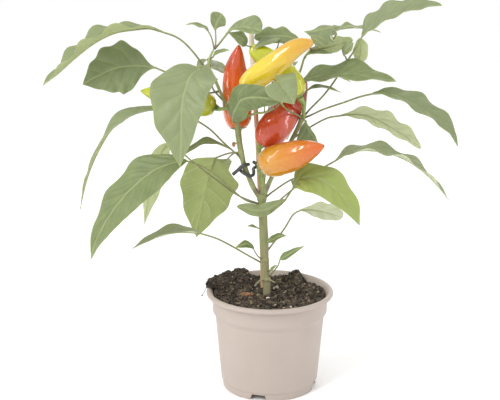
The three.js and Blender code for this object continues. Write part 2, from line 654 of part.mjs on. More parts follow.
    rib: [[40, 47, 312], [55, 60, 316], [70, 70, 313], [85, 76, 306]],
    halfWidths: [9, 12], face: [0.2, 0.4, 0.9], fold: 8, ruffle: 1, waves: 2,
    widest: 0.4, round: 0.7, cells: 7, across: 2,
  },
];

// Half the blade's width at u of the way along the rib, as a share of the widest.
function widthAt(u, widest, round, taper) {
  if (u < widest) {
    const x = u / widest;
    return round * (1 - (1 - x) ** 2.2) + (1 - round) * (3 * x * x - 2 * x ** 3);
  }
  const s = (u - widest) / (1 - widest);
  return (1 - s) ** taper * (1 + taper * s);
}

const ofSide = (value, side) => (Array.isArray(value) ? value[side] : value);
const stalkStepsOf = ({ stalk: route, across = 4 }) => Math.min(across > 2 ? 4 : 3, route.length);
const stalkRadiiOf = ({ across = 4 }) => (across > 2 ? [1.3, 0.95] : [0.95, 0.7]);
const stalkSpaceOf = (shape) => stalk(shape.stalk, stalkRadiiOf(shape), stalkStepsOf(shape), 8, 0.45);

function leaf(shape) {
  const { halfWidths, face, twist = 0, fold, cup = 0, ruffle, waves, phase = 0, lobe = [0, 0] } = shape;
  const { widest = 0.34, round = 0.6, taper = 1.2, cells = 9, across = 4 } = shape;
  const stalkSteps = stalkStepsOf(shape);
  const stalkPoints = walk(shape.stalk, stalkSteps);
  const ribPoints = walk(shape.rib, cells);
  const points = [...stalkPoints.slice(0, -1), ...ribPoints];
  const { tangents, ups, sides } = framesAlong(points, vec(face), stalkSteps + Math.round(0.4 * cells));
  const stalkRadii = stalkRadiiOf(shape);
  const lift = Math.sin(THREE.MathUtils.degToRad(fold));
  const spread = Math.cos(THREE.MathUtils.degToRad(fold));
  const rings = points.map((point, i) => {
    if (i < stalkSteps) {
      const radius = between(stalkRadii, i / stalkSteps);
      const onRing = (angle) =>
        point
          .clone()
          .addScaledVector(sides[i], radius * Math.cos(angle))
          .addScaledVector(ups[i], radius * Math.sin(angle));
      const step = Math.PI / (across + 1);
      return Array.from({ length: 2 * across + 2 }, (_, k) => onRing(Math.PI - (k + 0.5) * step));
    }
    const u = (i - stalkSteps) / cells;
    const shares = [0, 1].map((edge) => widthAt(u, ofSide(widest, edge), ofSide(round, edge), taper));
    const turn = THREE.MathUtils.degToRad(twist) * (u - 0.4);
    const up = ups[i].clone().applyAxisAngle(tangents[i], turn);
    const side = sides[i].clone().applyAxisAngle(tangents[i], turn);
    const spine = Array.from({ length: across + 1 }, (_, j) => {
      const v = (2 * j) / across - 1;
      const edge = Math.sign(v);
      const share = shares[v < 0 ? 0 : 1];
      const wave = Math.sin(2 * Math.PI * waves * u + phase + edge * 1.3);
      const half =
        (v < 0 ? halfWidths[0] : halfWidths[1]) * share * (1 + 0.05 * wave * Math.abs(v)) +
        0.7 * (1 - u) ** 8 +
        0.3;
      const ripple = ruffle * wave * Math.abs(v) ** 2.2 * share;
      const rise = half * (Math.abs(v) * lift - cup * v * v) + ripple;
      const back = ofSide(lobe, v < 0 ? 0 : 1) * Math.abs(v) ** 1.5 * (1 - u) ** 4;
      return point
        .clone()
        .addScaledVector(side, half * v * spread)
        .addScaledVector(up, rise)
        .addScaledVector(tangents[i], -back);
    });
    const normals = spine.map((_, j) => {
      const run = spine[Math.min(j + 1, across)].clone().sub(spine[Math.max(j - 1, 0)]);
      return run.cross(tangents[i]).normalize();
    });
    const shifted = (sign) =>
      spine.map((p, j) => p.clone().addScaledVector(normals[j], (sign * BLADE) / 2));
    return [...shifted(1), ...shifted(-1).reverse()];
  });
  return skin(rings);
}

// ---------- fruit ----------

const FRUIT = [
  {
    name: "pepper_red_orange",
    path: [[-32, 14, 267], [-33, 16, 284], [-34, 17, 304], [-35, 16, 325], [-31, 12, 352]],
    radius: 15,
    color: 0xe0602c,
    stalk: [[-32, 12, 261], [-31, 4, 256], [-29, -5, 252]],
  },
  {
    name: "pepper_yellow",
    path: [[-28, -22, 314], [-13, -25, 326], [7, -30, 342], [23, -30, 354], [40, -28, 360]],
    radius: 12.4,
    blunt: 0.55,
    color: 0xe6c63c,
    stalk: [[-32, -21, 309], [-34, -14, 299], [-34, -8, 290], [-33.5, -5.5, 280]],
  },
  {
    name: "pepper_yellow_green",
    path: [[28, -9, 304], [19, -5, 318], [4, 0, 334], [-9, 1, 344], [-20, 1, 351]],
    radius: 12.6,
    blunt: 1,
    color: 0xd3d23a,
    stalk: [[32, -8, 297], [32.5, -3.5, 290], [33, 1.5, 282]],
  },
  {
    name: "pepper_red",
    path: [[-8, 0, 255], [1, -3, 268.5], [13.5, 7, 284], [26, 18, 298.5], [36, 29, 315]],
    radius: 16.3,
    color: 0xcb3c2c,
    stalk: [[-11, 2, 250], [-10, 5, 244], [-6.5, 8, 237], [-5, 9, 230]],
  },
  {
    name: "pepper_orange",
    path: [[-7, -18, 240.5], [3, -28, 244], [16, -38, 250], [31.5, -47, 257.5], [50, -56, 265]],
    radius: 15.8,
    color: 0xe28c26,
    stalk: [[-11, -13, 238], [-11, -8, 231], [-9, -2, 223], [-7.5, 3, 215]],
  },
  {
    name: "pepper_lime",
    path: [[-55, 14, 289.5], [-71, 14, 294], [-90, 14, 298], [-110, 14, 303], [-129, 14, 306]],
    radius: 13.8,
    color: 0xd6d63c,
    stalk: [[-51.5, 11, 288.5], [-49, 3.5, 289.5], [-42, -3, 292]],
  },
];
const FRUIT_STEPS = 11;
const FRUIT_SIDES = 12;
// How far along, the share of the radius there, and what a blunt tip adds to that share.
const FRUIT_SHAPE = [
  [0, 0.45, 0],
  [0.04, 0.72, 0],
  [0.1, 0.88, 0],
  [0.18, 0.97, 0],
  [0.28, 1, 0],
  [0.42, 0.98, 0],
  [0.58, 0.89, 0.02],
  [0.74, 0.7, 0.12],
  [0.88, 0.43, 0.24],
  [0.96, 0.21, 0.26],
  [1, 0.06, 0.12],
];

function fruitBody({ path, radius, blunt = 0 }, extra = 0) {
  const points = walk(path, 50);
  const { tangents, ups, sides } = framesAlong(points, new THREE.Vector3(0.3, -1, 0.2), 0);
  const rings = FRUIT_SHAPE.map(([u, share, more], n) => {
    const i = Math.round(u * 50);
    const shift = n === 0 ? -extra : n === FRUIT_STEPS - 1 ? extra : 0;
    const centre = points[i].clone().addScaledVector(tangents[i], shift);
    return Array.from({ length: FRUIT_SIDES }, (_, k) => {
      const angle = (2 * Math.PI * (k + 0.5)) / FRUIT_SIDES;
      const lobed = radius * (share + blunt * more) * (1 + 0.03 * Math.cos(3 * angle)) + extra;
      return centre
        .clone()
        .addScaledVector(sides[i], lobed * Math.cos(angle))
        .addScaledVector(ups[i], lobed * Math.sin(angle));
    });
  });
  return skin(rings);
}

// The green cap over a pepper's blunt end, and the stalk that carries it.
const CARRIER_RADII = [2.4, 2.2, 1.9, 1.8];
function calyx({ path, radius, stalk: route }, extra = 0) {
  const foot = vec(path[0]);
  const along = vec(path[1]).sub(foot).normalize();
  const at = (distance) => foot.clone().addScaledVector(along, distance).toArray();
  const capPath = [at(radius * 0.08), at(-0.8), at(-2), at(-3.6)];
  const cap = stalk(capPath, [radius * 0.5, radius * 0.42, 3.6, 2.4], 3, 8, extra);
  const carrier = stalk([at(-1), at(-3), ...route], CARRIER_RADII, 1 + route.length, 5, extra);
  return cap.add(carrier);
}

// ---------- buds ----------

function flowerBuds() {
  const twig = [[-32, -5, 278], [-16.5, -9, 287], [-4.5, -10, 289], [3.5, -11, 293]];
  const main = stalk(twig, [1.4, 1.2, 1.1, 0.9], 4, 5);
  const tips = [[-14, -13, 296], [-6, -15, 296], [1, -14, 300], [8, -13, 297], [-1, -4, 299]];
  const starts = [[-13, -9.5, 288], [-6, -10, 289], [0, -10, 291], [3, -11, 292], [-2, -10, 290]];
  const buds = tips.map((tip, i) => {
    const out = vec(tip).sub(vec(starts[i])).normalize();
    const end = vec(tip).addScaledVector(out, 4).toArray();
    const neck = stalk([starts[i], tip], [0.6, 0.6], 1, 4);
    return neck.add(stalk([tip, end], [0.8, 2, 0.6], 2, 5));
  });
  return joined([main, ...buds]);
}

// ---------- tie ----------
// Two turns of coated wire round the left branch and the stick, twisted together in front.

function tie() {
  const wire = [
    [-37.3, -9, 226], [-33.5, -9.6, 229.5], [-30, -10, 232.5], [-26, -10, 235.8], [-22.3, -7.5, 236],
    [-22.3, -2, 234.5], [-26.5, 0.6, 233], [-30.5, -2.5, 231], [-29, -7.8, 229.3], [-25, -10.2, 226.8],
    [-20.3, -8.7, 224.5], [-17, -3, 224.5], [-16.5, 5, 226], [-16.6, 13, 227], [-12, 18.9, 228.5],
    [-7, 15, 229.5], [-9.6, 9.4, 231], [-14, 9.2, 233], [-17, 11, 234.5],
  ];
  return stalk(wire, [TIE_RADIUS, TIE_RADIUS], 40, 4);
}

// ---------- soil ----------

// Height of the peat at a place: low lumps, and heaps pushed up against the rim.
const HEAPS = [
  { x: -38, y: 38, height: 8, reach: 15 },
  { x: -50, y: 16, height: 7, reach: 14 },
  { x: -26, y: 48, height: 4, reach: 10 },
  { x: 29, y: 46, height: 11, reach: 9 },
  { x: 44, y: 8, height: 1.5, reach: 14 },
  { x: 4, y: -46, height: 2.5, reach: 22 },
];
function soilHeight(x, y) {
  const ripples = 1.1 * Math.sin(0.31 * x + 1.2) * Math.cos(0.27 * y);
  const lumps = ripples + 0.8 * Math.sin(0.19 * y - 0.23 * x);
  const heaps = HEAPS.map((h) => h.height * Math.exp(-((x - h.x) ** 2 + (y - h.y) ** 2) / h.reach ** 2));
  return SOIL_LEVEL + lumps + heaps.reduce((sum, rise) => sum + rise, 0);
}

function soil(stemSpace) {
  const SECTORS = 24;
  const inside = [[47.4, POT_FLOOR + GAP], [53.5, COLLAR_FOOT - 5], [56.4, COLLAR_FOOT + 0.8]];
  const surface = [56.7, 50, 42, 32, 21, 11];
  const corners = [[0, 0, POT_FLOOR + GAP]];
  const ring = (radius, height) => {
    for (let k = 0; k < SECTORS; k++) {
      const angle = (2 * Math.PI * k) / SECTORS;
      const [x, y] = [radius * Math.cos(angle), radius * Math.sin(angle)];
      corners.push([x, y, height ?? soilHeight(x, y)]);
    }
  };
  inside.forEach(([radius, height]) => ring(radius, height));
  surface.forEach((radius) => ring(radius));
  corners.push([0, 0, soilHeight(0, 0)]);
  const faces = [];
  const rows = inside.length + surface.length;
  for (let k = 0; k < SECTORS; k++) {
    const next = (k + 1) % SECTORS;
    faces.push(0, 1 + next, 1 + k);
    for (let row = 0; row + 1 < rows; row++) {
      const [a, b] = [1 + row * SECTORS + k, 1 + row * SECTORS + next];
      faces.push(a, b, b + SECTORS, a, b + SECTORS, a + SECTORS);
    }
    const top = 1 + (rows - 1) * SECTORS;
    faces.push(top + k, top + next, corners.length - 1);
  }
  const bed = solidOf(corners.flat(), faces);
  const crumb = (x, y, z, sx, sy, sz, spin) => {
    const lump = new THREE.IcosahedronGeometry(1, 1).rotateZ(spin).scale(sx, sy, sz);
    return solidOfGeometry(lump.translate(x, y, z));
  };
  const spill = joined([
    crumb(-57, 11, 104.5, 8.5, 9, 5, 0.1),
    crumb(-51, 27, 103.5, 9, 9, 4, 0.5),
    crumb(-41, 40, 104, 10, 8, 4, 0.9),
    crumb(-31, 49, 104.5, 9, 7, 4, 0.6),
  ]);
  const rimSpace = lathe([
    [RIM_RADIUS - 8.2, LIP_UNDER - 6],
    [RIM_RADIUS + GAP, LIP_UNDER - 6],
    [RIM_RADIUS + GAP, POT_HEIGHT - 1.5],
    [RIM_RADIUS - 1.4, POT_HEIGHT + GAP],
    [RIM_RADIUS - 4, POT_HEIGHT + GAP],
    [RIM_RADIUS - 5.8, POT_HEIGHT - 1.7],
    [RIM_RADIUS - 8.2, LIP_UNDER - 0.6],
    [RIM_RADIUS - 8.2, LIP_UNDER - 6],
  ]);
  return bed.add(spill.subtract(rimSpace)).subtract(stemSpace);
}

function barkChip() {
  const chip = new THREE.IcosahedronGeometry(1, 1).scale(7, 2.6, 1.7).rotateZ(-0.25);
  const [x, y] = [-24, -5];
  return solidOfGeometry(chip.translate(x, y, soilHeight(x, y) + 1.2));
}

// ---------- the plant put together ----------

const wood = joined(Object.values(AXES).map((axis) => axisSolid(axis)));
const woodSpace = joined(Object.values(AXES).map((axis) => axisSolid(axis, GAP)));
const shootSpaces = Object.fromEntries(
  Object.entries(SHOOTS).map(([name, axis]) => [name, axisSolid(axis, GAP)]),
);
const stakeSolid = stalk(STAKE.path, STAKE.radii, STAKE.steps, 8);
const stakeSpace = stalk(STAKE.path, STAKE.radii, STAKE.steps, 8, GAP);

addNode("pot", pot(), PLASTIC);
addNode("soil", soil(woodSpace.add(stakeSpace)), PEAT);
addNode("bark_chip", mainBody(barkChip().subtract(soil(woodSpace).translate([0, 0, GAP]))), BARK);
addNode("stem", wood, STEM_GREEN);
addNode("stake", stakeSolid, STICK);
addNode("tie", tie(), TIE_BLACK);

// Each new piece is cut clear of the stems and of the stalks that are already in place.
let taken = woodSpace;
const shootsBut = (name) =>
  Object.entries(shootSpaces).flatMap(([shoot, space]) => (shoot === name ? [] : [space]));
function addGrowth(name, solid, finish, stalkSpace, avoided = []) {
  const clear = solid.subtract(joined([taken, ...shootsBut(name), ...avoided]));
  const whole = SHOOTS[name] ? clear.add(axisSolid(SHOOTS[name]).subtract(woodSpace)) : clear;
  addNode(name, mainBody(whole), finish);
  taken = taken.add(stalkSpace);
}

for (const fruit of FRUIT) {
  addNode(fruit.name, fruitBody(fruit), fruitSkin(fruit.color));
  const name = fruit.name.replace("pepper", "calyx");
  addGrowth(name, calyx(fruit), CALYX_GREEN, calyx(fruit, GAP), [fruitBody(fruit, GAP)]);
}
addGrowth("flower_buds", flowerBuds(), CALYX_GREEN, woodSpace);

const leafNodes = new Map();
for (const shape of LEAVES) leafNodes.set(shape.node, [...(leafNodes.get(shape.node) ?? []), shape]);
for (const [name, shapes] of leafNodes) {
  const finish = shapes.some((shape) => shape.young) ? YOUNG_GREEN : LEAF_GREEN;
  addGrowth(name, joined(shapes.map(leaf)), finish, joined(shapes.map(stalkSpaceOf)));
}

export default group;
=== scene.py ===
"""Potted chilli pepper plant: leaves, peppers, stems, peat and pot, dressed over the part's solids.

Lengths in the tables are millimetres in the part's own frame: +Z up, the middle of the pot's foot at 0, 0, 0,
and -Y towards the front.
"""

import math

import bmesh
import bpy
import numpy as np
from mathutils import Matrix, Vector, noise


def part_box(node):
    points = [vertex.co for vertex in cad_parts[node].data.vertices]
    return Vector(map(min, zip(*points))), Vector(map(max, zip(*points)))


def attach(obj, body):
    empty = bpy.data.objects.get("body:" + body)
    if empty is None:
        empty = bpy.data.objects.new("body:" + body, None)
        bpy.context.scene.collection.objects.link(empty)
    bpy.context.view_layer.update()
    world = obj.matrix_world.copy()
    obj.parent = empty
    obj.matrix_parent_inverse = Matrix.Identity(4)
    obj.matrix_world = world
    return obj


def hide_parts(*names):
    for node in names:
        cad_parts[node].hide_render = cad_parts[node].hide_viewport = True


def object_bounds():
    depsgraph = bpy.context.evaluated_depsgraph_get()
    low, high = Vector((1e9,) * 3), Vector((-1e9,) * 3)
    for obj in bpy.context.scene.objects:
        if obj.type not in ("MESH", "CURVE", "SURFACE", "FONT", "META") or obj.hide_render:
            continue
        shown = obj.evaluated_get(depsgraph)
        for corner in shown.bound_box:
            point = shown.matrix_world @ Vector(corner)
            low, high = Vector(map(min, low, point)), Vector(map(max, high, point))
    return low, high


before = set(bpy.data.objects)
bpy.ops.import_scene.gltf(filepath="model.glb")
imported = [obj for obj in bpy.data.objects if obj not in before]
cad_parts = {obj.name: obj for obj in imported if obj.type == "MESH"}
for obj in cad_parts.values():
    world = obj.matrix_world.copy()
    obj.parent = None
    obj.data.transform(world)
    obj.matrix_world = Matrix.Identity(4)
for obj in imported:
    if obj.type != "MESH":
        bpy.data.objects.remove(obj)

bl_info = {
    "name": "Potted chilli pepper plant",
    "version": (1, 0, 0),
    "blender": (4, 5, 0),
    "location": "View3D > Sidebar > Chilli plant",
    "description": "Builds a potted chilli pepper plant with its peppers, leaves, stick, peat and pot",
    "category": "Object",
}

MM = 0.001
SEED = 7

OUTER_BOX = np.array([list(corner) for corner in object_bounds()]) / MM
EASED_BAND = 3  # mm inside the box
POT_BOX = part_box("pot")
RIM_RADIUS = (POT_BOX[1].x - POT_BOX[0].x) / 2
POT_HEIGHT = POT_BOX[1].z


# ---------- the plant's lines, in millimetres ----------

# A stem is a line of points, and the radii spread evenly along it.
STEMS = {
    "trunk": (
        [(-2.6, 0, 62), (-3, 0, 92), (-3.2, 0, 106), (-4.4, 0, 118), (-5.1, 0, 127), (-5.7, 0, 145),
         (-7.2, 0, 180), (-8.2, 0, 195), (-8.5, 0, 204)],
        [3.4, 3.4, 3.6, 4.2, 4.3, 4.5, 4.5, 4.3, 4],
    ),
    "left": (
        [(-8.5, 0, 198), (-15.7, -2, 209), (-21, -4, 221), (-26, -5, 234), (-28.9, -5, 247),
         (-31.3, -5, 262), (-33, -5, 281)],
        [3.1, 2.7, 2.6, 2.7, 2.9, 3, 2.7],
    ),
    "middle": (
        [(-8, 0, 197), (-8.2, 2, 208), (-7.4, 4, 218), (-4.8, 9, 231), (-1, 18, 250), (2, 23, 270),
         (3, 25, 290)],
        [3, 2.8, 2.6, 2.4, 2.2, 2, 1.8],
    ),
    "right": (
        [(-7.5, 0, 197), (-4.5, 2, 206), (0.5, 5, 217), (12.5, 12, 239), (25, 9, 264), (33, 2, 283)],
        [2.8, 2.3, 2.2, 2.2, 2.2, 2.9],
    ),
}
SHOOTS = {
    "spray_left_top": (
        [(-33, -5, 278), (-38, -4, 284), (-42, -3, 292), (-47.5, -2, 303), (-53.5, 0, 317), (-60.5, 0, 332),
         (-59, 0, 342), (-55, 0, 350)],
        [1.7, 1.6, 1.5, 1.5, 1.6, 1.8, 1.3, 0.9],
    ),
    "spray_middle_top": ([(3, 25, 289), (3, 25, 310), (2.5, 21, 331), (1.5, 16, 347)], [1.7, 1.6, 1.4, 1.2]),
    "spray_right_top": (
        [(2, 24, 277), (13, 34, 292), (24, 36, 311), (30, 27, 324), (34, 14, 340), (39.5, 10, 348)],
        [1.5, 1.4, 1.3, 1.2, 1.1, 0.9],
    ),
}
# The axils of the fork, in metres, where the stem is purple-brown.
FORK_AXILS = [(-0.0125, -0.003, 0.208), (-0.002, -0.002, 0.211)]
# Dry stubs of shed stalks on the trunk.
STUBS = [[(-5, -1, 116), (-9, -4, 114), (-15, -6, 109.5)], [(-3, -1, 112), (1, -4, 113.5), (5.8, -5, 111)]]
STICK = ([(-5.5, 14, 30), (-7.2, 14, 110), (-12, 14, 240), (-19.3, 14, 368)], [2.2, 2.2, 2.2, 2.6])
TIE_WIRE = [
    (-37.3, -9, 226), (-33.5, -9.6, 229.5), (-30, -10, 232.5), (-26, -10, 235.8), (-22.3, -7.5, 236),
    (-22.3, -2, 234.5), (-26.5, 0.6, 233), (-30.5, -2.5, 231), (-29, -7.8, 229.3), (-25, -10.2, 226.8),
    (-20.3, -8.7, 224.5), (-17, -3, 224.5), (-16.5, 5, 226), (-16.6, 13, 227), (-12, 18.9, 228.5),
    (-7, 15, 229.5), (-9.6, 9.4, 231), (-14, 9.2, 233), (-17, 11, 234.5),
]
WIRE_RADIUS = 1.7
# How pale each leaf is, from 0 to 1; the others are drawn at random.
PALE = {
    "leaf_left_arched": 0.45, "leaf_left_broad": 0.3, "leaf_left_front": 0.55, "leaf_left_drooping": 0.45,
    "leaf_left_low_front": 0.15, "leaf_left_bottom": 1.0, "leaf_left_rear": 0.1, "leaf_left_low_behind": 0.6,
    "leaf_left_narrow": 0.3, "leaf_right_low_behind": 1.0, "leaf_right_long": 0.95, "leaf_right_arched": 0.4,
    "leaf_right_rear": 0.8, "leaf_right_upper": 0.3, "leaf_right_top": 0.6, "leaf_front_left": 0.0,
    "leaf_front_right": 0.55, "leaflet_left_low": 0.0, "leaflet_left_tiny": 0.0, "leaflet_curled": 0.6,
    "leaflet_right_small": 0.1, "leaflet_right_low": 0.1, "leaflet_right_tiny": 0.0, "spray_right_top": 0.5,
}

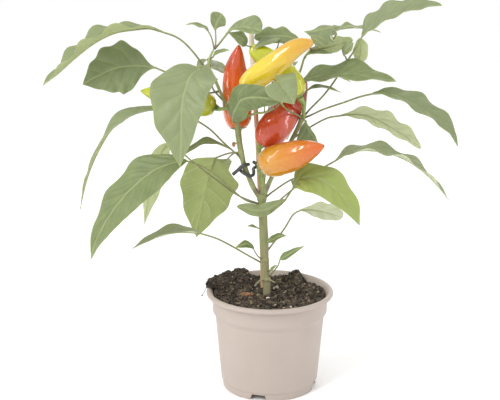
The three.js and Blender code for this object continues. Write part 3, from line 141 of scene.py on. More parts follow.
# stalk is a line from the stem to the blade, and rib goes on from its end to the tip. half is the blade's two
# half widths, and face is where the upper side looks. fold lifts both sides from the rib, and twist turns
# them round it, in degrees. ruffle is the height of the waved edge. widest is where along the rib the blade
# is widest, round is 1 for a full base and 0 for a drawn-out one, and lobe is how far each side reaches back
# past the stalk.
LEAVES = [
    dict(node="leaf_left_arched", half=(22, 22), face=(-0.3, -0.05, 1), twist=-10, fold=24, ruffle=3,
         waves=4.2, phase=0.4, widest=0.45, round=0.3, taper=0.85,
         stalk=[(-60, 0, 330), (-65, 0, 333), (-75, -1, 346), (-84, -2, 356), (-92, -3, 362),
                (-105, -4, 367)],
         rib=[(-117, -5, 370), (-131, -6, 369), (-150, -9, 366), (-169, -11, 357), (-189, -13, 342),
              (-206, -15, 327), (-221, -16, 316)]),
    dict(node="leaf_left_broad", half=(28, 25), face=(0.1, -0.9, 0.42), fold=6, ruffle=1.4, waves=5,
         widest=0.42, round=0, taper=1.05,
         stalk=[(-50, -1, 308), (-64, 4, 306), (-89, 10, 319), (-113, 14, 329)],
         rib=[(-130, 14, 331), (-152, 13, 329), (-169, 12, 322), (-186, 11, 313)]),
    dict(node="leaf_left_front", half=(25, 31), face=(-0.08, -0.9, 0.42), fold=6, ruffle=1.6, waves=3.2,
         widest=(0.14, 0.3), round=(1, 0.8), taper=1.2, lobe=(13, 3),
         stalk=[(-60, 0, 331), (-65, -8, 334), (-70, -18, 332)],
         rib=[(-77, -26, 327), (-82, -33, 315), (-85, -40, 301), (-86, -47, 272), (-87, -50, 243)]),
    dict(node="leaf_left_drooping", half=(19, 19), face=(-0.55, -0.1, 0.85), twist=20, fold=10, ruffle=1.4,
         waves=3, widest=0.3, round=0.5, taper=1.2,
         stalk=[(-30, -5, 243), (-45, 0, 255), (-61, 4, 270), (-80, 7, 281), (-102, 8, 289)],
         rib=[(-120, 8, 288), (-140, 6, 283), (-157, 5, 270), (-168, 4, 254), (-178, 3, 234), (-185, 2, 215),
              (-192, 1, 187)]),
    dict(node="leaf_left_low_front", half=(25, 20), face=(-0.45, -0.75, 0.5), fold=10, ruffle=1.8, waves=3.6,
         widest=0.3, round=0.7, taper=1.1,
         stalk=[(-9, 0, 193), (-24, -9, 199.5), (-40, -20, 215), (-52, -28, 229), (-69, -33, 241),
                (-81, -36, 246)],
         rib=[(-95, -38, 244), (-111, -40, 238), (-128, -43, 226), (-143, -45, 211), (-156, -47, 194),
              (-169, -48, 171), (-176, -49, 150)]),
    dict(node="leaf_left_low_behind", half=(9, 13), face=(0.2, 0.9, 0.2), fold=6, ruffle=1.2, waves=3,
         widest=0.3, round=0.7,
         stalk=[(-9, 2, 192), (-33, 14, 199), (-54, 20, 213), (-81, 22, 234), (-99, 20, 252)],
         rib=[(-107, 18, 247), (-115, 15, 230), (-123, 12, 200), (-128, 9, 170)]),
    dict(node="leaf_left_narrow", half=(6, 6), face=(-0.1, -0.35, 1), fold=14, ruffle=0.6, waves=2.5,
         widest=0.45, round=0.3,
         stalk=[(-27, -5, 237), (-35, -10, 249), (-42, -11, 254)],
         rib=[(-55, -13, 259), (-65, -15, 260), (-77, -17, 254), (-86, -19, 247)]),
    dict(node="leaf_left_rear", half=(28, 31), face=(0.1, 0.95, 0.2), fold=5, ruffle=1.2, waves=3.4,
         widest=0.3, round=0.8, taper=1.1,
         stalk=[(-26.5, -5, 242), (-33, 20, 242), (-44, 38, 237), (-56, 46, 231)],
         rib=[(-59, 50, 223), (-63, 53, 211), (-68, 54, 189), (-73, 52, 168), (-77, 49, 144)]),
    dict(node="leaf_left_bottom", half=(12, 12), face=(-0.1, -0.1, 1), fold=22, ruffle=0.8, waves=2.5,
         stalk=[(-3, 0, 128), (-21, -2, 139), (-37, -6, 150), (-53, -13, 161), (-68, -20, 168.5)],
         rib=[(-82, -25, 171), (-97, -28, 171), (-114, -32, 167), (-137, -36, 157)]),
    dict(node="leaf_right_low_front", half=(16, 18), face=(0.25, -0.8, 0.5), fold=10, ruffle=2, waves=3,
         widest=0.32, round=1, taper=1, young=True,
         stalk=[(-6, 0, 180), (4, -12, 190.5), (13, -19, 201), (22, -22, 216)],
         rib=[(28, -27, 225), (39, -32, 228), (53, -37, 225), (65, -41, 216), (77, -45, 203),
              (86, -49, 185)]),
    dict(node="leaf_right_low_behind", half=(11, 13), face=(0.1, 0.9, 0.45), fold=4, ruffle=1.2, waves=3,
         widest=0.55, taper=0.5,
         stalk=[(-4, 0, 142), (4, 8, 150), (15, 18, 162), (25, 26, 176), (32, 30, 179)],
         rib=[(44, 34, 178), (59, 39, 174), (77, 44, 167)]),
    dict(node="leaf_right_long", half=(15, 15), face=(0.35, -0.1, 1), twist=-10, fold=16, ruffle=3, waves=3.8,
         phase=0.8, widest=0.26, round=0.5, taper=0.8,
         stalk=[(-5, 0, 200), (5, 3, 207), (21, 6, 217), (36, 8, 222), (52, 8, 229), (66, 8, 237)],
         rib=[(80, 8, 245), (95, 8, 247), (115, 7, 245), (133, 6, 239), (151, 5, 228), (167, 3, 213),
              (182, 1, 195)]),
    dict(node="leaf_right_arched", half=(17, 13), face=(0.4, -0.45, 0.8), fold=14, ruffle=1.8, waves=3.4,
         widest=0.42, round=0.5, taper=0.75,
         stalk=[(33, 2, 281), (40, 1, 284), (51, 2.5, 289), (72, 5, 296), (89, 6, 302), (101, 6, 305)],
         rib=[(114, 5, 305), (128, 4, 301), (144, 2, 293), (162, 0, 282), (176, -2, 270), (186, -5, 253)]),
    dict(node="leaf_right_rear", half=(9, 14), face=(0.3, 0.8, 0.5), fold=4, ruffle=2.2, waves=3.6, phase=2,
         widest=0.4, round=0.6, taper=0.7,
         stalk=[(19, 11, 253), (27, 13, 261), (40, 16, 269), (58, 20, 278), (71, 23, 280)],
         rib=[(90, 28, 280), (107, 31, 275), (125, 33, 265), (141, 34, 255), (155, 34, 243)]),
    dict(node="leaf_right_upper", half=(17, 14), face=(0, -0.45, 0.9), fold=18, ruffle=3, waves=2.44,
         phase=0.3, widest=0.45, round=0.9, taper=0.9,
         stalk=[(25, 35.5, 313), (27, 25, 315), (30, 14, 315)],
         rib=[(42, 10, 320), (59, 7, 322), (78, 4, 324), (101, 1, 321), (123, -1, 318)]),
    dict(node="leaf_right_top", half=(17, 12), face=(-0.15, -0.4, 0.9), fold=22, ruffle=1.6, waves=3.4,
         widest=0.26, round=0.7, taper=0.7,
         stalk=[(32.5, 3, 281), (38.5, 6.5, 288), (53, 12, 302), (65, 18, 317), (76, 20, 335), (83, 19, 346),
                (90, 17, 360)],
         rib=[(97, 15, 367), (108, 13, 374), (120, 11, 381), (134, 9, 386), (148, 8, 389), (166, 6, 391)]),
    dict(node="leaf_right_top", half=(6, 7), face=(0, -0.6, 0.8), fold=8, ruffle=0.8, waves=2, widest=0.6,
         stalk=[(76, 20, 336), (74, 16, 340), (71.5, 10, 342)],
         rib=[(72, 8, 345), (75.5, 6, 350), (81, 4, 355)]),
    dict(node="leaf_right_top", half=(7.5, 7.5), face=(0.2, 0.9, -0.1), fold=6, ruffle=0.6, waves=2,
         widest=0.45, round=1, taper=0.7,
         stalk=[(76, 20, 335), (82, 26, 333), (87, 30, 332)],
         rib=[(90, 32, 338), (91, 34, 347), (90, 36, 356)]),
    dict(node="leaf_right_node", half=(2.5, 18), face=(0.1, -0.85, 0.5), fold=2, ruffle=0.5, waves=2,
         widest=0.5, round=0.4,
         stalk=[(32, 3, 279), (35.5, 8, 277)],
         rib=[(36.5, 9, 272), (41, 10, 264), (48, 11, 254)]),
    dict(node="leaf_right_narrow", half=(3.5, 3.5), face=(0, -0.35, 1), fold=10, ruffle=0.4, waves=2,
         stalk=[(33.5, 3, 282), (35, 4.5, 294), (35, 5, 303), (36, 5, 308)],
         rib=[(42, 5, 311), (49, 5, 312), (58.5, 5, 310), (70, 4, 306)]),
    dict(node="leaf_front_left", half=(14, 13), face=(-0.1, -0.85, 0.5), fold=4, cup=0.2, ruffle=0.8, waves=3,
         widest=0.36, round=1, taper=0.6,
         stalk=[(-33, -5, 279), (-37, -15, 280), (-37.5, -20, 283)],
         rib=[(-34.5, -36, 295.5), (-27, -48, 308), (-12.5, -55, 311), (7, -58, 308)]),
    dict(node="leaf_front_right", half=(18, 19), face=(-0.05, -0.62, 0.78), fold=24, cup=0.3, ruffle=0.8,
         waves=2, widest=(0.16, 0.3), round=1, taper=1.1, lobe=(13, 2),
         stalk=[(33, 2, 280), (24, -9, 287), (16.5, -17, 292), (8.5, -36, 304), (4, -48, 316), (6, -51, 325)],
         rib=[(8.5, -57, 323), (14, -64, 316), (20.5, -70, 307)]),
    # the tip of the left shoot
    dict(node="spray_left_top", half=(13, 6), face=(0, -0.75, 0.65), fold=10, ruffle=0.6, waves=2,
         widest=0.72, round=0, taper=0.5,
         stalk=[(-55, 0, 350), (-52.5, 0, 352), (-48.5, -1, 357), (-43.5, -2, 364)],
         rib=[(-37.5, -4, 369), (-28, -6, 371), (-18.5, -9, 370), (-9, -12, 368)]),
    dict(node="spray_left_top", half=(8.5, 8.5), face=(-0.1, -0.95, 0.3), fold=4, ruffle=0.4, waves=2,
         widest=0.6, round=0.4, taper=0.6,
         stalk=[(-55, 0, 350), (-54, 0, 352), (-53.5, 0, 360), (-54, 0, 368)],
         rib=[(-53.5, -1, 372), (-51, -3, 378), (-47, -6, 384)]),
    dict(node="spray_left_top", half=(4.5, 4.5), face=(-0.4, -0.35, 0.85), fold=12, ruffle=0.5, waves=2,
         widest=0.25,
         stalk=[(-55, 0, 350), (-55.5, 0, 352), (-58, 0, 362), (-60.5, 0, 367)],
         rib=[(-64, 0, 370), (-69.5, -1, 372), (-76.5, -2, 374), (-82, -3, 373)]),
    dict(node="spray_left_top", half=(3.2, 3.2), face=(0, -0.5, 0.86), fold=10, ruffle=0.3, waves=2,
         widest=0.4,
         stalk=[(-59, 0, 340), (-56.5, -1, 342)],
         rib=[(-52.5, -2, 346), (-46.5, -3, 348), (-40, -4, 349)]),
    dict(node="spray_left_top", half=(12, 11), face=(0.1, -0.7, 0.7), fold=8, ruffle=0.8, waves=2, widest=0.4,
         round=0.9,
         stalk=[(-60, 0, 333), (-60.5, 10, 332), (-60, 18, 329)],
         rib=[(-56, 28, 328), (-49, 39, 325), (-38, 46, 321)]),
    dict(node="spray_left_top", half=(4, 5), face=(-0.4, -0.6, 0.7), fold=8, ruffle=0.4, waves=2, widest=0.4,
         stalk=[(-60, 0, 337), (-61.5, 5, 338), (-63.5, 8, 338)],
         rib=[(-67.5, 9, 335), (-70.5, 10, 332), (-73.5, 11, 327)]),
    # the tip of the middle branch
    dict(node="spray_middle_top", half=(8, 7), face=(0.3, -0.75, 0.6), fold=6, ruffle=1.2, waves=2,
         widest=0.3, round=0.9,
         stalk=[(1.5, 16, 345), (-7.5, 13.5, 345.5), (-16, 9.6, 349.5), (-24, 7, 352)],
         rib=[(-27, 4, 358), (-33, 2, 362), (-41, 2, 365)]),
    dict(node="spray_middle_top", half=(9, 9.5), face=(0, -0.75, 0.65), fold=4, ruffle=1.6, waves=3,
         widest=0.45, round=1, taper=0.6,
         stalk=[(2.5, 20, 336), (13.5, 18, 346), (22.5, 17, 352), (28, 14, 357)],
         rib=[(17, 13, 360), (5.5, 11, 361), (-6.5, 9, 361), (-16, 8, 359)]),
    dict(node="spray_middle_top", half=(5, 6), face=(0, -0.6, 0.8), fold=8, ruffle=0.6, waves=2, widest=0.3,
         round=0.8,
         stalk=[(1.5, 17, 343), (6.5, 12, 349), (8.5, 5, 359)],
         rib=[(2, 1, 358.5), (-7.5, -4, 355.5), (-17.5, -9, 350)]),
    # the tip of the right shoot
    dict(node="spray_right_top", half=(8, 8), face=(0, -0.15, 1), fold=20, ruffle=1.8, waves=3.2, widest=0.3,
         taper=0.9,
         stalk=[(34, 14, 340), (43, 15, 349), (53.5, 15, 363)],
         rib=[(63.5, 16, 366), (76, 21, 367.5), (87.5, 29, 367), (99.5, 34, 365), (111, 37, 361.5)]),
    dict(node="spray_right_top", half=(15, 6), face=(-0.1, -0.7, 0.7), fold=-12, cup=0.1, ruffle=0.8, waves=2,
         widest=0.4, round=1, taper=1.4,
         stalk=[(39, 10, 348), (50.5, 9, 352), (61, 6, 358), (64.5, 2, 364)],
         rib=[(59.5, 0, 370), (50.5, -3, 369), (40.5, -5, 367), (32, -6, 367)]),
    dict(node="spray_right_top", half=(4.5, 4.5), face=(-0.3, -0.9, 0.1), fold=6, ruffle=0.5, waves=2,
         widest=0.5, round=0.9, taper=0.7,
         stalk=[(39, 10, 348), (48, 2, 350), (53, -8, 353)],
         rib=[(49, -13, 356), (44, -16, 360), (38, -17, 364)]),
    dict(node="spray_right_top", half=(9, 9), face=(0.1, 0.75, 0.5), fold=4, ruffle=1, waves=2, widest=0.45,
         round=0.7, taper=0.6,
         stalk=[(39, 10, 347), (44, 12, 347), (48, 13, 348)],
         rib=[(58.5, 14, 350), (69.5, 16, 353), (81.5, 18, 356)]),
    dict(node="spray_right_top", half=(3.6, 3.6), face=(0, -0.5, 0.86), fold=8, ruffle=0.4, waves=2,
         widest=0.4,
         stalk=[(34, 14, 339), (35, 12, 342)],
         rib=[(42, 11, 345), (50.5, 10, 345), (60.5, 9, 344)]),
    # small leaves in the axils of the trunk
    dict(node="leaflet_left_low", half=(5.5, 4), face=(-0.1, -0.6, 0.8), fold=10, ruffle=0.5, waves=2,
         widest=0.35, round=0.8,
         stalk=[(-5, 0, 133), (-11, -6, 139), (-14, -9, 144), (-16, -11, 149)],
         rib=[(-19.5, -13, 153.5), (-24.5, -16, 156), (-29, -19, 155.5), (-35, -22, 154)]),
    dict(node="leaflet_left_tiny", half=(2, 2), face=(0, -0.4, 0.9), fold=6, ruffle=0.2, waves=2, widest=0.4,
         stalk=[(-6, 0, 167), (-13, -5, 170)],
         rib=[(-18, -6, 172), (-23, -7, 172)]),
    dict(node="leaflet_curled", half=(6, 6.5), face=(0, -0.96, 0.28), fold=4, ruffle=2.2, waves=2.4,
         phase=1.2, widest=0.5, round=0.7, taper=0.7,
         stalk=[(-7, 0, 189), (0, -5, 190.5), (10, -5.5, 196), (16, -6, 199.5)],
         rib=[(6, -7.5, 195), (-4, -9, 190), (-16, -12.5, 190), (-25, -14, 193), (-33.5, -15, 195)]),
    dict(node="leaflet_right_small", half=(4.5, 4), face=(0, -0.6, 0.8), fold=8, ruffle=0.4, waves=2,
         widest=0.4, round=0.8,
         stalk=[(-5, 0, 152), (-3, -6, 155)],
         rib=[(3, -7, 158), (9, -9, 162), (16.5, -10, 163)]),
    dict(node="leaflet_right_low", half=(4, 3.5), face=(-0.3, -0.7, 0.6), fold=8, ruffle=0.4, waves=2,
         widest=0.25, round=0.9,
         stalk=[(-2, 0, 115), (3, -6, 123), (8, -9, 131), (10, -10, 138)],
         rib=[(15, -11, 141), (24, -12, 147), (34.5, -13, 153)]),
    dict(node="leaflet_right_tiny", half=(1.9, 1.9), face=(0, -0.6, 0.8), fold=8, ruffle=0.2, waves=2,
         widest=0.4,
         stalk=[(-3, 0, 121), (0, -6, 125)],
         rib=[(3, -8, 128), (7, -10, 132)]),
    # the far side of the plant
    dict(node="leaf_back_high", half=(17, 16), face=(0, 0.3, 1), fold=12, ruffle=1.6, waves=3, widest=0.36,
         round=0.7,
         stalk=[(3, 25, 298), (8, 40, 312), (11, 50, 318)],
         rib=[(13, 68, 323), (13, 88, 318), (12, 105, 304)]),
    dict(node="leaf_back_middle", half=(15, 15), face=(0, 0.4, 1), fold=10, ruffle=1.6, waves=3, widest=0.36,
         round=0.7,
         stalk=[(-1, 18, 249), (3, 35, 258), (8, 48, 262)],
         rib=[(12, 66, 264), (16, 86, 256), (20, 102, 238)]),
    dict(node="leaf_back_left_low", half=(17, 17), face=(-0.3, 0.8, 0.6), fold=8, ruffle=1.6, waves=3,
         widest=0.34, round=0.8,
         stalk=[(-26, -5, 238), (-31, 28, 240), (-38, 52, 234), (-45, 70, 224)],
         rib=[(-55, 88, 214), (-61, 100, 192), (-64, 104, 166)]),
    dict(node="leaf_back_right_low", half=(14, 14), face=(0.2, 0.4, 0.9), fold=10, ruffle=1.4, waves=3,
         widest=0.36, round=0.7,
         stalk=[(-5, 1, 182), (10, 26, 190), (26, 50, 198)],
         rib=[(37, 66, 200), (48, 82, 193), (58, 94, 178)]),
    dict(node="leaf_back_left_high", half=(15, 15), face=(-0.5, 0.6, 0.7), fold=8, ruffle=1.4, waves=3,
         widest=0.36, round=0.7,
         stalk=[(-44.5, -3, 297), (-56, 7, 308), (-60, 28, 314), (-68, 50, 307)],
         rib=[(-82, 64, 301), (-95, 76, 285), (-104, 83, 262)]),
    dict(node="leaf_back_right_high", half=(9, 12), face=(0.2, 0.4, 0.9), fold=8, ruffle=1, waves=2,
         widest=0.4, round=0.7,
         stalk=[(20, 33, 308), (31, 41, 312), (40, 47, 312)],
         rib=[(55, 60, 316), (70, 70, 313), (85, 76, 306)]),
]

# Peppers: a line from the calyx to the tip, the largest radius, and the stalk back to the stem.
PEPPERS = [
    dict(node="red_orange", radius=15, colour="#dc6412", tip="#c94a1e", blunt=0,
         stalk=[(-32, 12, 261), (-31, 4, 256), (-29, -5, 252)],
         path=[(-32, 14, 267), (-33, 16, 284), (-34, 17, 304), (-35, 16, 325), (-31, 12, 352)]),
    dict(node="yellow", radius=12, colour="#d6bc2c", tip="#c8982a", blunt=0.55,
         stalk=[(-32, -21, 309), (-34, -14, 299), (-34, -8, 290), (-33.5, -5.5, 280)],
         path=[(-28, -22, 314), (-13, -25, 326), (7, -30, 342), (23, -30, 354), (40, -28, 360)]),
    dict(node="yellow_green", radius=12.6, colour="#b8ba1c", tip="#b4b81c", blunt=1,
         stalk=[(32, -8, 297), (32.5, -3.5, 290), (33, 1.5, 282)],
         path=[(28, -9, 304), (19, -5, 318), (4, 0, 334), (-9, 1, 344), (-20, 1, 351)]),
    dict(node="red", radius=16.3, colour="#c0441f", tip="#94262a", blunt=0,
         stalk=[(-11, 2, 250), (-10, 5, 244), (-6.5, 8, 237), (-5, 9, 230)],
         path=[(-8, 0, 255), (1, -3, 268.5), (13.5, 7, 284), (26, 18, 298.5), (36, 29, 315)]),
    dict(node="orange", radius=15.8, colour="#c0820e", tip="#c25e0a", blunt=0,
         stalk=[(-11, -13, 238), (-11, -8, 231), (-9, -2, 223), (-7.5, 3, 215)],
         path=[(-7, -18, 240.5), (3, -28, 244), (16, -38, 250), (31.5, -47, 257.5), (50, -56, 265)]),
    dict(node="lime", radius=13.8, colour="#b4ba2c", tip="#bcbf34", blunt=0,
         stalk=[(-51.5, 11, 288.5), (-49, 3.5, 289.5), (-42, -3, 292)],
         path=[(-55, 14, 289.5), (-71, 14, 294), (-90, 14, 298), (-110, 14, 303), (-129, 14, 306)]),
]
# Share of the largest radius at shares of the way from calyx to tip, and what a blunt tip adds to it.
PEPPER_PROFILE = [
    (0, 0.24, 0), (0.012, 0.48, 0), (0.04, 0.71, 0), (0.1, 0.88, 0), (0.18, 0.972, 0), (0.28, 1, 0),
    (0.42, 0.98, 0), (0.58, 0.88, 0.02), (0.74, 0.7, 0.12), (0.88, 0.43, 0.24), (0.955, 0.23, 0.26),
    (0.985, 0.13, 0.2), (1, 0.04, 0.05),
]
PEPPER_SLOTS = {
    "red_orange": "fruit_orange_red", "yellow": "fruit_golden", "yellow_green": "fruit_green_yellow",
    "red": "fruit_red", "orange": "fruit_orange", "lime": "fruit_lime",
}
BUD_TWIG = ([(-32, -5, 278), (-16.5, -9, 287), (-4.5, -10, 289), (3.5, -11, 293)], [1.4, 1.2, 1.1, 0.9])
BUDS = [
    ((-13, -9.5, 288), (-14, -13, 296)), ((-6, -10, 289), (-6, -15, 296)), ((0, -10, 291), (1, -14, 300)),
    ((3, -11, 292), (8, -13, 297)), ((-2, -10, 290), (-1, -4, 299)),
]
# A bud lower on the left branch has dried up: its stub, and last the middle of the bud.
DRY_BUD = [(-31, -7, 259), (-33.5, -8, 257.5), (-35.6, -8.4, 257), (-36.2, -8.5, 256.4)]
CHIP_PLACE = (-24, -5)
# The peat is pushed up into heaps: x, y, height and reach.
HEAPS = [
    (-38, 38, 8, 15), (-50, 16, 7, 14), (-26, 48, 4, 10), (29, 46, 11, 9), (44, 8, 1.5, 14),
    (4, -46, 2.5, 22),
]
# Lumps of it lie on the rim: the middle, the half size and the turn in radians.
SPILLS = [
    ((-57, 11, 104.5), (8.5, 9, 5), 0.1),
    ((-51, 27, 103.5), (9, 9, 4), 0.5),
    ((-41, 40, 104), (10, 8, 4), 0.9),
    ((-31, 49, 104.5), (9, 7, 4), 0.6),
]
HANGING_ROOT = [(-61, 4, 106), (-65.4, 1, 103.6), (-66.6, 0, 101), (-68, -1, 98.6), (-69.5, -2, 96.8)]


# ---------- sizes and colours that a user may change ----------


def linear(code):
    """An sRGB hex colour as linear red, green, blue and alpha."""
    channels = [int(code[i : i + 2], 16) / 255 for i in (1, 3, 5)]
    return tuple(c / 12.92 if c <= 0.04045 else ((c + 0.055) / 1.055) ** 2.4 for c in channels) + (1.0,)


def length_setting(name, description, default, low=0.0):
    return bpy.props.FloatProperty(
        name=name, description=description, default=default, min=low, unit="LENGTH", precision=5
    )


def power_setting(name, description, default):
    return bpy.props.FloatProperty(name=name, description=description, default=default, unit="POWER")


def share_setting(name, description, default):
    return bpy.props.FloatProperty(
        name=name, description=description, default=default, min=0, max=1, subtype="FACTOR"
    )


def colour_setting(name, description, code):
    return bpy.props.FloatVectorProperty(
        name=name, description=description, default=linear(code), subtype="COLOR", size=4, min=0, max=1
    )


class PotSettings(bpy.types.PropertyGroup):
    rim_radius: length_setting("Rim radius", "Radius of the pot's rolled rim", RIM_RADIUS)
    height: length_setting("Height", "Height of the pot from foot to rim", POT_HEIGHT)
    out_of_round: length_setting("Out of round", "How far the thin wall strays from a true circle", 0.00025)
    colour: colour_setting("Colour", "Colour of the moulded plastic", "#aea198")


class PeatSettings(bpy.types.PropertyGroup):
    level: length_setting("Level", "Height of the peat's surface in the pot", 0.0975)
    crumbs: bpy.props.IntProperty(name="Crumbs", description="Number of loose crumbs", default=1500, min=0)
    fibres: bpy.props.IntProperty(name="Fibres", description="Number of loose fibres", default=120, min=0)
    # Dark is the painted shade in the peat's hollows, and light is the paler peat on the raised lumps; the
    # mottling mixes the two.
    dark: colour_setting("Dark", "Colour of the damp peat in the hollows", "#1d1915")
    light: colour_setting("Light", "Colour of the dry peat on top", "#5d5347")


class StemSettings(bpy.types.PropertyGroup):
    ridge: share_setting("Ridges", "Depth of the ridges as a share of the stem's radius", 0.07)
    green: colour_setting("Green", "Colour of the young stem", "#7d8452")
    bark: colour_setting("Bark", "Colour of the corky streaks low on the trunk", "#8f8a68")
    axil: colour_setting("Axil", "Colour where a stalk joins the stem", "#5f5348")


class LeafSettings(bpy.types.PropertyGroup):
    thickness: length_setting("Thickness", "Thickness of the blade in its middle", 0.0005, 0.0002)
    puff: length_setting("Puff", "How far the blade rises between its veins", 0.0014)
    vein_spacing: length_setting("Vein spacing", "Distance between side veins along the midrib", 0.017, 0.004)
    dark: colour_setting("Dark", "Darker green of the upper side", "#56633a")
    light: colour_setting("Light", "Paler green of the upper side", "#677547")
    vein: colour_setting("Vein", "Colour of the midrib and side veins", "#98a26e")
    under: colour_setting("Under", "Colour of the matt underside", "#9da76c")
    young: colour_setting("Young", "Colour of a young or paler leaf", "#8b9950")


class PepperSettings(bpy.types.PropertyGroup):
    lobes: share_setting("Lobes", "Depth of the three lobes as a share of the radius", 0.03)
    coat: share_setting("Wax", "How much of the fruit's wax coat shows", 1.0)
    calyx: colour_setting("Calyx", "Colour of the calyx and its stalk", "#6c7d40")


class StageSettings(bpy.types.PropertyGroup):
    floor: colour_setting("Floor", "Colour of the plain floor", "#ffffff")
    key: power_setting("Key light", "Power of the main softbox", 18)
    fill: power_setting("Fill light", "Power of the side strips and the rear softbox", 3)
    sky: bpy.props.FloatProperty(name="Sky", description="Strength of the even white surround", default=1.0)


# ---------- lines and meshes ----------


def unit(vectors):
    vectors = np.asarray(vectors, float)
    return vectors / np.maximum(np.linalg.norm(vectors, axis=-1, keepdims=True), 1e-9)


def smooth_line(points, shares):
    """Points at shares of a smooth line through the given ones; a whole number means that many even steps."""
    points = np.asarray(points, float)
    if np.isscalar(shares):
        shares = np.linspace(0, 1, shares + 1)
    ends = np.vstack([2 * points[0] - points[1], points, 2 * points[-1] - points[-2]])
    dense = []
    for p0, p1, p2, p3 in zip(ends, ends[1:], ends[2:], ends[3:]):
        gaps = [max(np.linalg.norm(b - a), 1e-6) ** 0.5 for a, b in ((p0, p1), (p1, p2), (p2, p3))]
        t1, t2, t3 = gaps[0], gaps[0] + gaps[1], sum(gaps)
        t = np.linspace(t1, t2, 24, endpoint=False)[:, None]
        a1 = ((t1 - t) * p0 + t * p1) / t1
        a2 = ((t2 - t) * p1 + (t - t1) * p2) / (t2 - t1)
        a3 = ((t3 - t) * p2 + (t - t2) * p3) / (t3 - t2)
        b1 = ((t2 - t) * a1 + t * a2) / t2
        b2 = ((t3 - t) * a2 + (t - t1) * a3) / (t3 - t1)
        dense.append(((t2 - t) * b1 + (t - t1) * b2) / (t2 - t1))
    dense = np.vstack([*dense, points[-1:]])
    run = np.r_[0, np.cumsum(np.linalg.norm(np.diff(dense, axis=0), axis=1))]
    return np.stack([np.interp(np.asarray(shares) * run[-1], run, dense[:, k]) for k in range(3)], 1)


def line_length(points):
    return float(np.linalg.norm(np.diff(np.asarray(points, float), axis=0), axis=1).sum())


def frames_along(line, face, at=0.4):
    """Tangent, up and side at each point; up is nearest to face at that share of the way."""
    tangent = unit(np.gradient(line, axis=0))
    up = np.zeros_like(tangent)
    middle = round(at * (len(line) - 1))
    for order in (range(middle, len(line)), range(middle - 1, -1, -1)):
        carried = np.asarray(face, float) if order.step == 1 else up[middle]
        for i in order:
            carried = up[i] = unit(carried - tangent[i] * np.dot(carried, tangent[i]))
    return tangent, up, np.cross(tangent, up)


def rough(points, size, seed=0.0, octaves=3):
    """Smooth noise, about -1 to 1, at points in mm, for lumps about that size in mm."""
    shift = Vector((seed * 17.3, seed * 5.1, seed * 9.7))
    flat = np.asarray(points, float).reshape(-1, 3)
    values = [noise.fractal(Vector(p) / size + shift, 0.7, 2.1, octaves) for p in flat]
    return np.array(values).reshape(np.asarray(points).shape[:-1])


def held_in(points):
    """The points, with those in the last few mm before the part's outer box eased back inside it."""
    low, high = OUTER_BOX[0] + EASED_BAND, OUTER_BOX[1] - EASED_BAND
    low[2] = -EASED_BAND
    points = np.where(points > high, high + EASED_BAND * np.tanh((points - high) / EASED_BAND), points)
    return np.where(points < low, low - EASED_BAND * np.tanh((low - points) / EASED_BAND), points)


class Skin:
    """Gathers the points, faces, finishes and surface facts of one mesh."""

    def __init__(self):
        self.points, self.faces, self.finish, self.facts = [], [], [], {}
        self.count = 0

    def add(self, points, faces, finish, facts):
        """Adds points and faces; a fact is a value at each point, such as how near it is to a vein."""
        points = np.asarray(points, float).reshape(-1, 3)
        self.points.append(points)
        self.faces.extend((np.asarray(face) + self.count).tolist() for face in faces)
        self.finish.extend(np.broadcast_to(finish, len(faces)).tolist())
        for name in sorted(set(self.facts) | set(facts)):
            runs = self.facts.setdefault(name, [np.zeros(self.count)])
            value = np.asarray(facts.get(name, 0.0), float)
            runs.append(np.broadcast_to(value.reshape(-1), len(points)))
        self.count += len(points)

    def add_grid(self, grid, finish=0, closed=False, ends=False, **facts):
        """Quads over a grid of points; closed joins its columns into a tube, and ends caps that tube."""
        rows, columns = grid.shape[:2]
        index = np.arange(rows * columns).reshape(rows, columns)
        if closed:
            index = np.hstack([index, index[:, :1]])
        quads = np.stack([index[:-1, :-1], index[:-1, 1:], index[1:, 1:], index[1:, :-1]], -1)
        finish = np.broadcast_to(finish, quads.shape[:2]).reshape(-1)
        faces = list(quads.reshape(-1, 4))
        if ends:
            faces += [index[0, :columns][::-1], index[-1, :columns]]
            finish = np.r_[finish, finish[:1], finish[-1:]]
        facts = {k: np.broadcast_to(v, (rows, columns)) for k, v in facts.items()}
        self.add(grid, faces, finish, facts)

    def piece(self, name, finishes, node, slot, weld=False):
        """Makes the mesh an object on the root body, in place of its CAD node, if any. The slot is not used.
        """
        mesh = bpy.data.meshes.new(name)
        mesh.from_pydata((held_in(np.vstack(self.points)) * MM).tolist(), [], self.faces)
        for finish in finishes:
            mesh.materials.append(finish)
        mesh.polygons.foreach_set("material_index", self.finish)
        mesh.polygons.foreach_set("use_smooth", [True] * len(mesh.polygons))
        for fact, runs in self.facts.items():
            layer = mesh.attributes.new(fact, "FLOAT", "POINT")
            layer.data.foreach_set("value", np.concatenate(runs).astype(np.float32))
        if weld:
            shape = bmesh.new()
            shape.from_mesh(mesh)
            bmesh.ops.remove_doubles(shape, verts=shape.verts, dist=0.004 * MM)
            shape.to_mesh(mesh)
            shape.free()
        mesh.update()
        piece = bpy.data.objects.new(name, mesh)
        bpy.context.scene.collection.objects.link(piece)
        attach(piece, "root")
        if node:
            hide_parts(node)
        return piece


def applied(piece, kind, **settings):
    """Runs one modifier on the piece and keeps its result as the piece's mesh."""
    modifier = piece.modifiers.new(kind.title(), kind)
    for name, value in settings.items():
        setattr(modifier, name, value)
    graph = bpy.context.evaluated_depsgraph_get()
    mesh = bpy.data.meshes.new_from_object(piece.evaluated_get(graph), depsgraph=graph)
    piece.modifiers.clear()
    piece.data = mesh
    mesh.polygons.foreach_set("use_smooth", [True] * len(mesh.polygons))
    return piece


